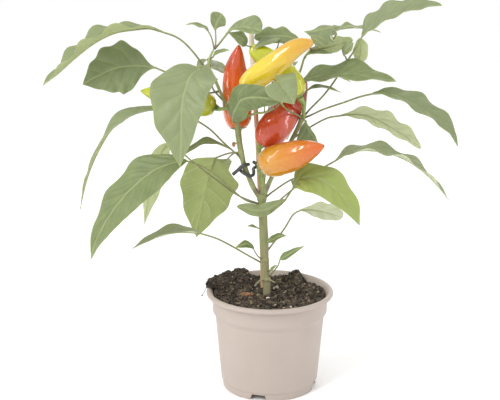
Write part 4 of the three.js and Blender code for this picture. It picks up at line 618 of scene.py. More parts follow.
def tube_grid(line, radii, sides, shape=None):
    """Rings of points round a line; shape(turn, way) scales the radius round and along."""
    way = np.linspace(0, 1, len(line))
    radius = np.interp(way, np.linspace(0, 1, len(radii)), radii)
    chord = unit(line[-1] - line[0])
    face = (0.2, 0.3, 1) if abs(chord[2]) < 0.8 else (0.3, -1, 0.2)
    _, up, side = frames_along(line, face, 0)
    turn = np.arange(sides) * 2 * math.pi / sides
    size = np.ones((len(line), sides)) if shape is None else shape(turn[None, :], way[:, None])
    around = np.cos(turn)[None, :, None] * side[:, None, :] - np.sin(turn)[None, :, None] * up[:, None, :]
    return line[:, None, :] + around * (radius[:, None] * size)[..., None]


def add_tube(skin, line, radii, sides=10, finish=0, shape=None, **facts):
    way = np.linspace(0, 1, len(line))[:, None]
    grid = tube_grid(line, radii, sides, shape)[:, ::-1]
    skin.add_grid(grid, finish, closed=True, ends=True, way=way, **facts)


def add_ball(skin, middle, half, rows, sides, bumpy=0.0, size=4.0, seed=0.0, turn=0.0, finish=0, **facts):
    """A rough ellipsoid, such as a crumb or a lump of peat."""
    lift = np.linspace(math.pi - 0.02, 0.02, rows)[:, None]
    round_ = np.arange(sides)[None, :] * 2 * math.pi / sides
    height = np.cos(lift) * np.ones_like(round_)
    ball = np.stack([np.sin(lift) * np.cos(round_), np.sin(lift) * np.sin(round_), height], -1)
    grid = ball * np.asarray(half, float)
    c, s = math.cos(turn), math.sin(turn)
    grid = grid @ np.array([[c, s, 0], [-s, c, 0], [0, 0, 1]])
    if bumpy:
        grid = grid * (1 + bumpy * rough(grid + np.asarray(middle), size, seed))[..., None]
    skin.add_grid(grid + np.asarray(middle), finish, closed=True, ends=True, **facts)


# ---------- finishes ----------

LAYER = {"data_type": "RGBA", "out": 2}
EASE = {"interpolation_type": "SMOOTHSTEP"}


def new_material(name):
    """An empty material, and the function that adds a node to it."""
    material = bpy.data.materials.new(name)
    material.use_nodes = True
    tree = material.node_tree
    tree.nodes.clear()

    def add(kind, inputs=(), out=0, stops=(), **settings):
        """Adds a node with its settings, inputs by name or in order, and ramp stops; gives one output."""
        made = tree.nodes.new("ShaderNode" + kind)
        for key, value in settings.items():
            setattr(made, key, value)
        for key, value in inputs.items() if isinstance(inputs, dict) else enumerate(inputs):
            if isinstance(value, bpy.types.NodeSocket):
                tree.links.new(value, made.inputs[key])
            else:
                made.inputs[key].default_value = linear(value) if isinstance(value, str) else value
        for _ in stops[2:]:
            made.color_ramp.elements.new(1.0)
        for i, (place, colour) in enumerate(stops):
            made.color_ramp.elements[i].position = place
            made.color_ramp.elements[i].color = linear(colour)
        return made.outputs[out] if len(made.outputs) else None

    return material, add


def close(material, add, inputs, relief, depth, strength, glow=None):
    """Ends a material with its bump and shader; glow is the weight, colour and reach of light inside it."""
    inputs = {**inputs, "Normal": add("Bump", {"Height": relief, "Distance": depth, "Strength": strength})}
    if glow:
        inputs.update(zip(("Subsurface Weight", "Subsurface Radius", "Subsurface Scale"), glow))
    add("OutputMaterial", {"Surface": add("BsdfPrincipled", inputs)})
    return material


def vein_distance(add):
    """The distance in mm from the nearest side vein; the phase counts the veins from the base."""
    apart = add("Math", (add("Attribute", out="Fac", attribute_name="phase"), 0.5), operation="PINGPONG")
    gap = add("Attribute", out="Fac", attribute_name="gap")
    return add("Math", (apart, gap), operation="MULTIPLY")


def leaf_upper():
    """Pepper leaf, upper side: soft green tissue under a thin smooth wax, so it has a broad satin shine."""
    s = bpy.context.scene.chilli_leaves
    material, add = new_material("Pepper leaf, waxy upper side")
    where = add("TexCoord", out="Object")
    clouds = add("TexNoise", {"Vector": where, "Scale": 85.0, "Detail": 4.0})  # clouds about 12 mm across
    green = add("Mix", {0: add("MapRange", (clouds, 0.3, 0.7)), 6: s.dark, 7: s.light}, **LAYER)
    tone = add("MapRange", (add("Attribute", out="Fac", attribute_name="tone"), 0.0, 1.0, 0.0, 0.9))
    green = add("Mix", {0: tone, 6: green, 7: "#909878"}, **LAYER)
    young = add("Attribute", out="Fac", attribute_name="young")
    green = add("Mix", {0: young, 6: green, 7: s.young}, **LAYER)
    apart = vein_distance(add)
    halo = add("MapRange", (apart, 0.2, 2.6, 1.0, 0.0), **EASE)
    edge = add("Attribute", out="Fac", attribute_name="edge")
    side_vein = add("MapRange", (apart, 0.12, 0.75, 1.0, 0.0), **EASE)
    side_vein = add("Math", (side_vein, add("MapRange", (edge, 0.5, 5.0))), operation="MULTIPLY")
    across = add("Math", (add("Attribute", out="Fac", attribute_name="across"),), operation="ABSOLUTE")
    rib = add("MapRange", (across, 0.5, 1.25, 1.0, 0.0), **EASE)
    # The net of small veins has meshes about 2 mm wide.
    net = add("TexVoronoi", {"Vector": where, "Scale": 460.0}, feature="DISTANCE_TO_EDGE")
    net = add("MapRange", (net, 0.0, 0.12, 1.0, 0.0))
    for vein, share in ((halo, 0.08), (net, 0.14), (side_vein, 0.24), (rib, 0.6)):
        vein = add("MapRange", (vein, 0.0, 1.0, 0.0, share))
        green = add("Mix", {0: vein, 6: green, 7: s.vein}, **LAYER)
    rim = add("MapRange", (edge, 0.15, 0.9, 0.5, 0.0), **EASE)
    green = add("Mix", {0: rim, 6: green, 7: "#a0a86e"}, **LAYER)
    grain = add("TexNoise", {"Vector": where, "Scale": 1400.0, "Detail": 2.0})  # skin cells drawn at 0.7 mm
    relief = add("Math", (net, -0.35, grain), operation="MULTIPLY_ADD")
    relief = add("Math", (side_vein, -1.6, relief), operation="MULTIPLY_ADD")
    shine = add("MapRange", (clouds, 0.3, 0.7, 0.4, 0.52))
    look = {"Base Color": green, "Roughness": shine, "IOR": 1.45, "Specular IOR Level": 0.5}
    return close(material, add, look, relief, 0.00012, 0.8, (0.15, (0.9, 1.0, 0.4), 0.0012))


def leaf_under():
    """Pepper leaf, underside: matt and paler, with its veins standing out."""
    s = bpy.context.scene.chilli_leaves
    material, add = new_material("Pepper leaf, matt underside")
    where = add("TexCoord", out="Object")
    clouds = add("TexNoise", {"Vector": where, "Scale": 110.0, "Detail": 4.0})  # clouds about 9 mm across
    green = add("Mix", {0: add("MapRange", (clouds, 0.3, 0.7, 0, 0.5)), 6: s.under, 7: "#8f9a62"}, **LAYER)
    tone = add("MapRange", (add("Attribute", out="Fac", attribute_name="tone"), 0.2, 1.0, 0.0, 0.85))
    green = add("Mix", {0: tone, 6: green, 7: "#cdd2b6"}, **LAYER)
    side_vein = add("MapRange", (vein_distance(add), 0.15, 0.8, 1.0, 0.0), **EASE)
    net = add("TexVoronoi", {"Vector": where, "Scale": 460.0}, feature="DISTANCE_TO_EDGE")
    net = add("MapRange", (net, 0.0, 0.14, 1.0, 0.0))
    for vein, share, pale in ((net, 0.2, "#bfc598"), (side_vein, 0.5, "#c2c89c")):
        green = add("Mix", {0: add("MapRange", (vein, 0, 1, 0, share)), 6: green, 7: pale}, **LAYER)
    relief = add("Math", (side_vein, 2.5, net), operation="MULTIPLY_ADD")
    look = {"Base Color": green, "Roughness": 0.62, "IOR": 1.4, "Specular IOR Level": 0.35}
    return close(material, add, look, relief, 0.00014, 1.0, (0.2, (0.9, 1.0, 0.4), 0.0012))


def green_stalk():
    """Leaf stalk and midrib: ridged, slightly shiny green skin, browner where it joins the stem."""
    s = bpy.context.scene.chilli_stems
    material, add = new_material("Green stalk skin")
    where = add("TexCoord", out="Object")
    streaks = add("TexNoise", {"Vector": where, "Scale": 260.0, "Detail": 3.0})  # patches 4 mm across
    green = add("ValToRGB", (streaks,), stops=[(0.3, "#706f46"), (0.7, "#8a905c")])
    way = add("Attribute", out="Fac", attribute_name="way")
    green = add("Mix", {0: add("MapRange", (way, 0.3, 0.6)), 6: green, 7: "#9aa46e"}, **LAYER)
    axil = add("MapRange", (way, 0.01, 0.075, 0.8, 0.0), **EASE)
    green = add("Mix", {0: axil, 6: green, 7: s.axil}, **LAYER)
    grain = add("TexNoise", {"Vector": where, "Scale": 1200.0, "Detail": 2.0})
    look = {"Base Color": green, "Roughness": 0.45, "IOR": 1.45}
    return close(material, add, look, grain, 0.0001, 0.6, (0.15, (0.8, 1.0, 0.4), 0.001))


def green_stem():
    """Pepper stem: green and ridged, with pale corky streaks that run along it, mostly low on the trunk."""
    s = bpy.context.scene.chilli_stems
    material, add = new_material("Pepper stem, green with corky streaks")
    where = add("TexCoord", out="Object")
    along = add("Mapping", {"Vector": where, "Scale": (1.0, 1.0, 0.12)})
    texture = {"Vector": along, "Scale": 900.0, "Detail": 5.0, "Roughness": 0.65}  # streaks 1 mm wide
    streaks = add("TexNoise", texture)
    height = add("SeparateXYZ", (where,), 2)
    low = add("MapRange", (height, 0.1, 0.2, 0.16, -0.04))
    cork = add("MapRange", (add("Math", (streaks, low), operation="ADD"), 0.5, 0.66), **EASE)
    broad = add("TexNoise", {"Vector": where, "Scale": 60.0, "Detail": 3.0})
    green = add("Mix", {0: add("MapRange", (broad, 0.35, 0.7)), 6: s.green, 7: "#949866"}, **LAYER)
    base = add("MapRange", (height, 0.1, 0.135, 0.75, 0.0), **EASE)
    green = add("Mix", {0: base, 6: green, 7: "#b3a67d"}, **LAYER)
    for node in FORK_AXILS:
        near = add("VectorMath", (where, node), "Value", operation="DISTANCE")
        near = add("MapRange", (near, 0.0025, 0.0055, 0.75, 0.0), **EASE)
        green = add("Mix", {0: near, 6: green, 7: "#65505a"}, **LAYER)
    green = add("Mix", {0: cork, 6: green, 7: s.bark}, **LAYER)
    spots = add("TexNoise", {"Vector": where, "Scale": 700.0, "Detail": 1.0})
    spots = add("MapRange", (spots, 0.68, 0.74, 0.0, 0.6))
    green = add("Mix", {0: spots, 6: green, 7: s.axil}, **LAYER)
    relief = add("Math", (cork, 0.6, streaks), operation="MULTIPLY_ADD")
    look = {"Base Color": green, "Roughness": add("MapRange", (cork, 0, 1, 0.42, 0.75)), "IOR": 1.45}
    return close(material, add, look, relief, 0.00035, 0.8, (0.08, (0.8, 1.0, 0.4), 0.001))


def bamboo():
    """Split bamboo: straight pale fibres in a satin rind, and a bleached dry end at the top."""
    material, add = new_material("Split bamboo, dry rind")
    where = add("TexCoord", out="Object")
    along = add("Mapping", {"Vector": where, "Scale": (1.0, 1.0, 0.03)})
    texture = {"Vector": along, "Scale": 2200.0, "Detail": 4.0, "Roughness": 0.6}  # fibres 0.45 mm wide
    fibres = add("TexNoise", texture)
    tan = add("ValToRGB", (fibres,), stops=[(0.3, "#b08a5e"), (0.52, "#c9a67e"), (0.72, "#dcc09a")])
    pale = add("MapRange", (add("SeparateXYZ", (where,), 2), 0.285, 0.345, 0.0, 0.9), **EASE)
    tan = add("Mix", {0: pale, 6: tan, 7: "#f4e8d8"}, **LAYER)
    return close(material, add, {"Base Color": tan, "Roughness": 0.5, "IOR": 1.5}, fibres, 0.0002, 0.7)


def tie_coat():
    """Garden wire with a dark extruded plastic coat: smooth and soft-edged in its shine."""
    material, add = new_material("Plastic-coated garden wire")
    dust = add("TexNoise", {"Vector": add("TexCoord", out="Object"), "Scale": 500.0, "Detail": 3.0})
    dark = add("ValToRGB", (dust,), stops=[(0.35, "#333534"), (0.75, "#4a4c4a")])
    return close(material, add, {"Base Color": dark, "Roughness": 0.38, "IOR": 1.5}, dust, 0.0001, 0.4)


def pepper_skin(kind):
    """Ripe pepper: a tight, smooth skin under natural wax, over juicy flesh, so it mirrors lights sharply."""
    s = bpy.context.scene.chilli_peppers
    material, add = new_material("Waxy pepper skin, " + kind["node"].replace("_", " "))
    where = add("TexCoord", out="Object")
    clouds = add("TexNoise", {"Vector": where, "Scale": 70.0, "Detail": 3.0})  # ripening in 14 mm clouds
    way = add("Attribute", out="Fac", attribute_name="way")
    ripening = add("Math", (clouds, 0.35, way), operation="MULTIPLY_ADD")
    ripe = add("MapRange", (ripening, 0.45, 1.1), **EASE)
    colour = add("Mix", {0: ripe, 6: kind["colour"], 7: kind["tip"]}, **LAYER)
    fleck = add("TexNoise", {"Vector": where, "Scale": 900.0, "Detail": 1.0})  # pale pores, about 1 mm apart
    fleck = add("MapRange", (fleck, 0.62, 0.8, 0.0, 0.12))
    neck = add("MapRange", (way, 0.01, 0.08, 0.2, 0.0), **EASE)
    nib = add("MapRange", (way, 0.985, 0.997, 0.0, 0.85), **EASE)
    for share, tint in ((fleck, "#f6e2a0"), (neck, "#b9a736"), (nib, "#6b4a2a")):
        colour = add("Mix", {0: share, 6: colour, 7: tint}, **LAYER)
    dimples = add("TexNoise", {"Vector": where, "Scale": 350.0, "Detail": 2.0})  # faint dimples 3 mm across
    look = {
        "Base Color": colour, "Roughness": add("MapRange", (clouds, 0.3, 0.7, 0.2, 0.3)), "IOR": 1.45,
        "Coat Weight": s.coat, "Coat Roughness": 0.04, "Coat IOR": 1.45,
    }
    return close(material, add, look, dimples, 0.00018, 0.35, (0.3, (1.0, 0.45, 0.15), 0.003))


def calyx_skin():
    """Calyx and fruit stalk: firm ribbed green skin with a satin shine."""
    s = bpy.context.scene.chilli_peppers
    material, add = new_material("Ribbed calyx skin")
    where = add("TexCoord", out="Object")
    clouds = add("TexNoise", {"Vector": where, "Scale": 320.0, "Detail": 3.0})
    green = add("Mix", {0: add("MapRange", (clouds, 0.3, 0.7)), 6: s.calyx, 7: "#9aab60"}, **LAYER)
    grain = add("TexNoise", {"Vector": where, "Scale": 1500.0, "Detail": 2.0})
    look = {"Base Color": green, "Roughness": 0.42, "IOR": 1.45}
    return close(material, add, look, grain, 0.00012, 0.6, (0.1, (0.8, 1.0, 0.4), 0.001))


def bud_skin():
    """Unopened flower buds: dark green sepals with a dusky tip."""
    material, add = new_material("Dusky flower bud")
    way = add("Attribute", out="Fac", attribute_name="way")
    stops = [(0.0, "#7b8a52"), (0.45, "#5f6a44"), (0.75, "#c9cbb0"), (1.0, "#8a866c")]
    green = add("ValToRGB", (way,), stops=stops)
    grain = add("TexNoise", {"Vector": add("TexCoord", out="Object"), "Scale": 1500.0, "Detail": 2.0})
    return close(material, add, {"Base Color": green, "Roughness": 0.5, "IOR": 1.45}, grain, 0.00012, 0.6)


def pot_plastic():
    """Injection-moulded polypropylene: a fine spark-eroded grain gives an even, soft satin."""
    s = bpy.context.scene.chilli_pot
    material, add = new_material("Moulded polypropylene, fine grain")
    where = add("TexCoord", out="Object")
    clouds = add("TexNoise", {"Vector": where, "Scale": 30.0, "Detail": 4.0})  # faint clouds 33 mm across
    faint = add("MapRange", (clouds, 0.35, 0.7, 0, 0.35))
    # Painted shade: where the surface faces towards the middle of the foot, inside the wall and under the
    # rolled rim, it is drawn darker.
    facing = add("TexCoord", out="Normal")
    inward = add("VectorMath", (where, facing), "Value", operation="DOT_PRODUCT")
    painted_inner_shade = add("MapRange", (inward, -0.01, -0.035, 0.0, 0.55), **EASE)
    specks = add("TexNoise", {"Vector": where, "Scale": 420.0, "Detail": 3.0, "Roughness": 0.7})
    dust = add("MapRange", (specks, 0.64, 0.76, 0.0, 0.3))
    colour = s.colour
    # 9c8c78 is the painted shade inside the wall and under the rim.
    for share, tint in ((faint, "#a4988e"), (painted_inner_shade, "#9c8c78"), (dust, "#8c7b6b")):
        colour = add("Mix", {0: share, 6: colour, 7: tint}, **LAYER)
    grain = add("TexNoise", {"Vector": where, "Scale": 2600.0, "Detail": 1.0})  # mould grain drawn at 0.4 mm
    look = {"Base Color": colour, "Roughness": add("MapRange", (clouds, 0.3, 0.7, 0.42, 0.52)), "IOR": 1.49}
    return close(material, add, look, grain, 0.00006, 0.5, (0.06, (1.0, 0.8, 0.6), 0.002))


def peat():
    """Peat potting mix: dull dark crumbs and fibres, mottled, with painted shade in its hollows, so it is
    paler and browner where it stands up.
    """
    s = bpy.context.scene.chilli_peat
    material, add = new_material("Fibrous peat mix")
    where = add("TexCoord", out="Object")
    lumps = add("TexNoise", {"Vector": where, "Scale": 420.0, "Detail": 6.0, "Roughness": 0.7})  # 2.4 mm
    # The height at each point tips the mottling: painted shade darkens the hollows, and the raised lumps come
    # out paler.
    high = add("MapRange", (add("Attribute", out="Fac", attribute_name="high"), 0.2, 0.8, -0.16, 0.12))
    dry = add("MapRange", (add("Math", (lumps, high), operation="ADD"), 0.35, 0.72))
    colour = add("Mix", {0: dry, 6: s.dark, 7: s.light}, **LAYER)
    chips = add("SeparateColor", (add("TexVoronoi", {"Vector": where, "Scale": 330.0}, 1),))
    colour = add("Mix", {0: add("MapRange", (chips, 0.86, 0.93, 0.0, 0.6)), 6: colour, 7: "#7d6a52"}, **LAYER)
    return close(material, add, {"Base Color": colour, "Roughness": 0.9, "IOR": 1.45}, lumps, 0.0012, 0.9)


def crumb():
    """Loose crumbs of peat, bark and grit: dull, each in its own brown."""
    material, add = new_material("Peat and bark crumbs")
    tone = add("Attribute", out="Fac", attribute_name="tone")
    stops = [(0.0, "#211c18"), (0.45, "#3f362d"), (0.75, "#665747"), (0.93, "#8f8069"), (1.0, "#ddd5c8")]
    colour = add("ValToRGB", (tone,), stops=stops)
    grain = add("TexNoise", {"Vector": add("TexCoord", out="Object"), "Scale": 1200.0, "Detail": 4.0})
    return close(material, add, {"Base Color": colour, "Roughness": 0.88, "IOR": 1.45}, grain, 0.0004, 0.8)


def bark():
    """Pine bark chip: flaky layers in warm brown, dull."""
    material, add = new_material("Flaky pine bark")
    layers = add("Mapping", {"Vector": add("TexCoord", out="Object"), "Scale": (0.25, 1.0, 1.0)})
    flakes = add("TexNoise", {"Vector": layers, "Scale": 1300.0, "Detail": 4.0})
    colour = add("ValToRGB", (flakes,), stops=[(0.3, "#5c3f2c"), (0.5, "#8b6446"), (0.72, "#b58d66")])
    return close(material, add, {"Base Color": colour, "Roughness": 0.8, "IOR": 1.45}, flakes, 0.0004, 0.8)


# ---------- leaves ----------

UPPER, UNDER, STALK = 0, 1, 2
USUAL_LEAF = {
    "twist": 0, "cup": 0, "phase": 0, "widest": 0.34, "round": 0.6, "taper": 1.2, "lobe": 0, "young": False,
}


def ribbed(count, depth):
    """The shape of a tube with that many low ribs along it."""
    return lambda turn, way: 1 + depth * np.cos(count * turn)


def width_at(u, widest, full, taper):
    """Half the blade's width as a share of the widest, from base (0) to tip (1)."""
    x = np.clip(u / widest, 0, 1)
    base = full * (1 - (1 - x) ** 2.2) + (1 - full) * (3 * x * x - 2 * x**3)
    s = np.clip((u - widest) / (1 - widest), 0, 1)
    return np.where(u < widest, base, (1 - s) ** taper * (1 + taper * s))


def add_leaf(skin, shape, seed, settings):
    """A blade with quilting between its side veins, and its stalk running on under it as the midrib."""
    draw = np.random.default_rng(seed)
    shape = {**USUAL_LEAF, **shape}
    route, half = [shape["stalk"][-1], *shape["rib"]], shape["half"]
    length = line_length(route)
    small = min(1.0, max(half) / 16)
    rows = int(np.clip(length / 1.1, 14, 140))
    columns = 2 * int(np.clip(max(half) / 1.25, 4, 22))
    u, v = np.linspace(0, 1, rows + 1), np.linspace(-1, 1, columns + 1)
    line = smooth_line(route, rows)
    ahead, up, side = frames_along(line, shape["face"])
    turn = (math.radians(shape["twist"]) * (u - 0.4))[:, None]
    up, side = up * np.cos(turn) + side * np.sin(turn), side * np.cos(turn) - up * np.sin(turn)
    u, v = np.meshgrid(u, v, indexing="ij")
    out, first = np.abs(v), v < 0
    widest, full, lobe = (np.broadcast_to(shape[key], 2) for key in ("widest", "round", "lobe"))
    share = np.where(first, *(width_at(u, widest[k], full[k], shape["taper"]) for k in (0, 1)))
    wave = np.sin(2 * math.pi * shape["waves"] * u + shape["phase"] + np.sign(v) * 1.3)
    reach = np.where(first, *half) * share * (1 + 0.05 * wave * out) + 0.7 * (1 - u) ** 8 + 0.3
    fold = math.radians(shape["fold"])
    across = reach * v * math.cos(fold)
    rise = reach * (out * math.sin(fold) - shape["cup"] * v * v)
    rise = rise + shape["ruffle"] * wave * out**2.2 * share
    back = np.where(first, *lobe) * out**1.5 * (1 - u) ** 4
    grid = line[:, None, :] + side[:, None, :] * across[..., None] + up[:, None, :] * rise[..., None]
    grid = grid - ahead[:, None, :] * back[..., None]
    # Side veins leave the rib in turn and curve towards the tip; the blade puffs up between them.
    pairs = max(3.0, round(length / (settings.vein_spacing / MM)))
    stagger = 0.22 * np.clip(v / 0.06, -1, 1)
    shift = draw.uniform(0, 1)
    uneven = 0.13 * np.sin(2.3 * pairs * u + 9 * shift + v)
    phase = pairs * (u * 1.04 - 0.24 * out**0.85) + stagger + shift + uneven
    puff = settings.puff / MM * small * (np.abs(np.sin(math.pi * phase)) ** 0.7 - 0.4)
    puff = puff * (1 - out**4) * np.minimum(1, 1.2 * share) * np.clip(out / 0.12, 0, 1)
    groove = 0.12 * small * np.exp(-((across / 1.3) ** 2))
    lumps = 0.5 * small * rough(grid, 14, seed) * (0.3 + out)
    normal = unit(np.cross(np.gradient(grid, axis=1), np.gradient(grid, axis=0)))
    grid = grid + normal * (puff - groove + lumps)[..., None]
    thick = (settings.thickness / MM) * (1 - 0.45 * out**3)[..., None] / 2 * (0.6 + 0.4 * small)
    gap = np.full_like(u, length / pairs * 0.8)
    facts = {"phase": phase, "across": across, "gap": gap, "edge": reach * (1 - out)}
    facts = {name: np.hstack([fact, fact[:, ::-1]])[:, ::-1] for name, fact in facts.items()}
    tone = draw.uniform(0, 0.7)
    facts["tone"] = PALE.get(shape["node"], tone)
    facts["young"] = 1.0 if shape["young"] else draw.uniform(0, 0.18)
    finish = np.repeat([UNDER, UPPER], columns + 1)
    both = np.hstack([grid + normal * thick, (grid - normal * thick)[:, ::-1]])
    skin.add_grid(both[:, ::-1], finish, closed=True, ends=True, **facts)
    add_leaf_stalk(skin, shape["stalk"], line, up, small)


def add_leaf_stalk(skin, route, line, up, small):
    """The stalk flares where it leaves the stem, and tapers along the underside as the midrib."""
    length = line_length(route)
    steps = max(4, int(length / 1.6))
    rib_end = int((len(line) - 1) * 0.94)
    thick = 0.85 if small > 0.55 else 0.62
    rib_radii = np.interp(np.arange(rib_end), [0, rib_end * 0.15, rib_end], [thick, thick * 0.8, 0.22])
    rib = line[:rib_end] - up[:rib_end] * (rib_radii * 0.8)[:, None]
    way = np.linspace(0, 1, steps + 1)
    stalk = smooth_line(route, steps) - up[:1] * (thick * 0.8 * way**2)[:, None]
    radii = thick * (1.05 + 0.85 * np.exp(-way * length / 2.4))
    add_tube(skin, np.vstack([stalk[:-1], rib]), np.r_[radii[:-1], rib_radii], 10, STALK, ribbed(3, 0.05))


class CHILLI_OT_leaves(bpy.types.Operator):
    """Grow every leaf and leafy shoot"""

    bl_idname = "chilli.leaves"
    bl_label = "Leaves and shoots"

    def execute(self, context):
        finishes = [leaf_upper(), leaf_under(), green_stalk()]
        for node in dict.fromkeys(shape["node"] for shape in LEAVES):
            skin = Skin()
            if node in SHOOTS:
                line, radii = SHOOTS[node]
                steps = int(line_length(line) / 1.2)
                add_tube(skin, smooth_line(line, steps), radii, 12, STALK, ribbed(5, 0.05))
            shapes = [shape for shape in LEAVES if shape["node"] == node]
            for shape in shapes:
                add_leaf(skin, shape, SEED + LEAVES.index(shape), context.scene.chilli_leaves)
            slot = "young_leaf" if any(shape.get("young") for shape in shapes) else "leaf"
            skin.piece(node + "_foliage", finishes, node, slot)
        return {"FINISHED"}


# ---------- stems and stick ----------

# Swellings of the trunk, as the middle and the half size: the fork, the foot's collar and a scar.
SWELLINGS = [
    ((-8.3, 0, 199), (5, 4.4, 5.5)),
    ((-4, 0, 114), (4.9, 4.8, 3.2)),
    ((-5.3, 0, 134), (4.8, 4.8, 3)),
]
KNOT = 0.45  # how far up the stick its knot is


class CHILLI_OT_stems(bpy.types.Operator):
    """Grow the trunk and its three branches as one skin"""

    bl_idname = "chilli.stems"
    bl_label = "Trunk and branches"

    def execute(self, context):
        ridge = context.scene.chilli_stems.ridge
        skin = Skin()
        for i, (line, radii) in enumerate(STEMS.values()):
            steps = int(line_length(line) / 1.5)
            bulge = lambda t, w, i=i: 1 + ridge * np.cos(5 * t + 2 * w + i) * 0.8 + 0.04 * np.sin(31 * w + i)
            add_tube(skin, smooth_line(line, steps), radii, 40, 0, bulge)
        for line in STUBS:
            add_tube(skin, smooth_line(line, 12), [1.3, 1.1, 0.8], 12)
        for middle, half in SWELLINGS:
            add_ball(skin, middle, half, 20, 28, 0.08, 5, 2)
        finish = green_stem()
        piece = skin.piece("stem_skin", [finish], "stem", "green_stem")
        applied(piece, "REMESH", mode="VOXEL", voxel_size=0.6 * MM)
        applied(piece, "SMOOTH", factor=0.6, iterations=4)
        piece.data.materials.clear()
        piece.data.materials.append(finish)
        return {"FINISHED"}


def split_cane(turn, way):
    """The section of a split cane: a flat, faint ribs, and a knot part of the way up."""
    flat = 0.1 * np.abs(np.sin(turn / 2 + 0.7)) ** 6
    return 1 - flat + 0.015 * np.sin(9 * turn) + 0.03 * np.exp(-(((way - KNOT) / 0.01) ** 2))


class CHILLI_OT_stick(bpy.types.Operator):
    """Push in the bamboo stick and wind the wire tie round it"""

    bl_idname = "chilli.stick"
    bl_label = "Stick and tie"

    def execute(self, context):
        skin = Skin()
        add_tube(skin, smooth_line(STICK[0], 240), STICK[1], 36, 0, split_cane)
        skin.piece("stick_rind", [bamboo()], "stake", "bamboo_stick")
        wire = Skin()
        add_tube(wire, smooth_line(TIE_WIRE, 320), [WIRE_RADIUS] * 2, 16)
        wire.piece("tie_coat", [tie_coat()], "tie", "tie_wire")
        return {"FINISHED"}


# ---------- peppers ----------

PEPPER_SIDES = 84
CALYX_SIDES = 80
CALYX_STEPS = 401
CALYX_REACH = 0.1  # the calyx lies on this share of the pepper's length


def pepper_grid(kind, shares, sides, settings, lift=0.0, uneven=0.35):
    """The pepper's skin at shares of the way along it, or that many mm over it."""
    line = smooth_line(kind["path"], shares)
    face = (0.3, -1, 0) if kind["node"] == "red_orange" else (0.3, 0.5, 1)
    _, up, side = frames_along(line, face, 0.3)
    turn = (np.arange(sides) * 2 * math.pi / sides)[None, :]
    u = np.asarray(shares)[:, None]
    places, *parts = np.array(PEPPER_PROFILE).T
    profile = parts[0] + kind["blunt"] * parts[1]
    # Away from its ends the profile is a smoother one than the table's straight runs.
    sharp = np.interp(u, places, profile)
    near = [np.clip(u + step, 0, 1) for step in (-0.03, -0.015, 0, 0.015, 0.03)]
    soft = np.mean([np.interp(place, places, profile) for place in near], 0)
    blend = np.clip(np.minimum(u, 1 - u) / 0.1, 0, 1)
    radius = kind["radius"] * sharp * (1 - blend) + kind["radius"] * soft * blend
    furrow = 1 + settings.lobes * np.cos(3 * turn + 1.5 * u) + 0.012 * np.cos(7 * turn + 4 * u)
    around = np.cos(turn)[..., None] * side[:, None, :] - np.sin(turn)[..., None] * up[:, None, :]
    grid = line[:, None, :] + around * (radius * furrow)[..., None]
    if uneven:
        middle = np.clip(u * 6, 0, 1) * np.clip((1 - u) * 6, 0, 1)
        grid = grid + around * (uneven * rough(grid, 15, kind["radius"]) * middle)[..., None]
    return grid + around * lift


def add_calyx(kind, settings, finish):
    """A cap with five low teeth that lies on the shoulder, drawn out into the ridged stalk."""
    turn = (np.arange(CALYX_SIDES) * 2 * math.pi / CALYX_SIDES)[None, :]
    teeth = 0.07 + 0.09 * np.maximum(0, np.cos(5 * turn)) ** 0.8
    reach = teeth[0] * kind["radius"] / line_length(kind["path"])
    shares = np.linspace(0, CALYX_REACH, CALYX_STEPS)
    over, under = (pepper_grid(kind, shares, CALYX_SIDES, settings, lift, 0) for lift in (0.55, -0.4))
    each = np.arange(CALYX_SIDES)
    step = CALYX_REACH / (CALYX_STEPS - 1)
    rows = [over[np.rint(reach * share**1.6 / step).astype(int), each] for share in np.linspace(1, 0, 14)]
    edge = under[np.rint(reach / step).astype(int), each]
    ahead = smooth_line(kind["path"], [0, 0.04])
    back = unit(ahead[0] - ahead[1])
    middle = rows[-1].mean(0)
    neck = [
        middle + back * out + (rows[-1] - middle) * size
        for out, size in ((0.5, 0.9), (1.0, 0.72), (1.7, 0.58), (2.6, 0.5))
    ]
    skin = Skin()
    skin.add_grid(np.stack([edge, *rows, *neck]), 0, True, True, way=0.5)
    stalk = [tuple(np.add(kind["path"][0], back)), *kind["stalk"]]
    steps = int(line_length(stalk) / 0.9)
    add_tube(skin, smooth_line(stalk, steps), [3.3, 2.6, 2.1, 1.9, 1.8, 1.85, 2.1], 20, 0, ribbed(5, 0.07))
    skin.piece("calyx_" + kind["node"] + "_cap", [finish], "calyx_" + kind["node"], "calyx_green")


class CHILLI_OT_peppers(bpy.types.Operator):
    """Hang the six peppers, each with its calyx and stalk"""

    bl_idname = "chilli.peppers"
    bl_label = "Peppers"

    def execute(self, context):
        settings = context.scene.chilli_peppers
        green = calyx_skin()
        shares = 0.5 - 0.5 * np.cos(np.linspace(0, math.pi, 120))
        for kind in PEPPERS:
            node = "pepper_" + kind["node"]
            skin = Skin()
            grid = pepper_grid(kind, shares, PEPPER_SIDES, settings)
            skin.add_grid(grid[:, ::-1], 0, True, True, way=shares[:, None])
            skin.piece(node + "_skin", [pepper_skin(kind)], node, PEPPER_SLOTS[kind["node"]])
            add_calyx(kind, settings, green)
        return {"FINISHED"}


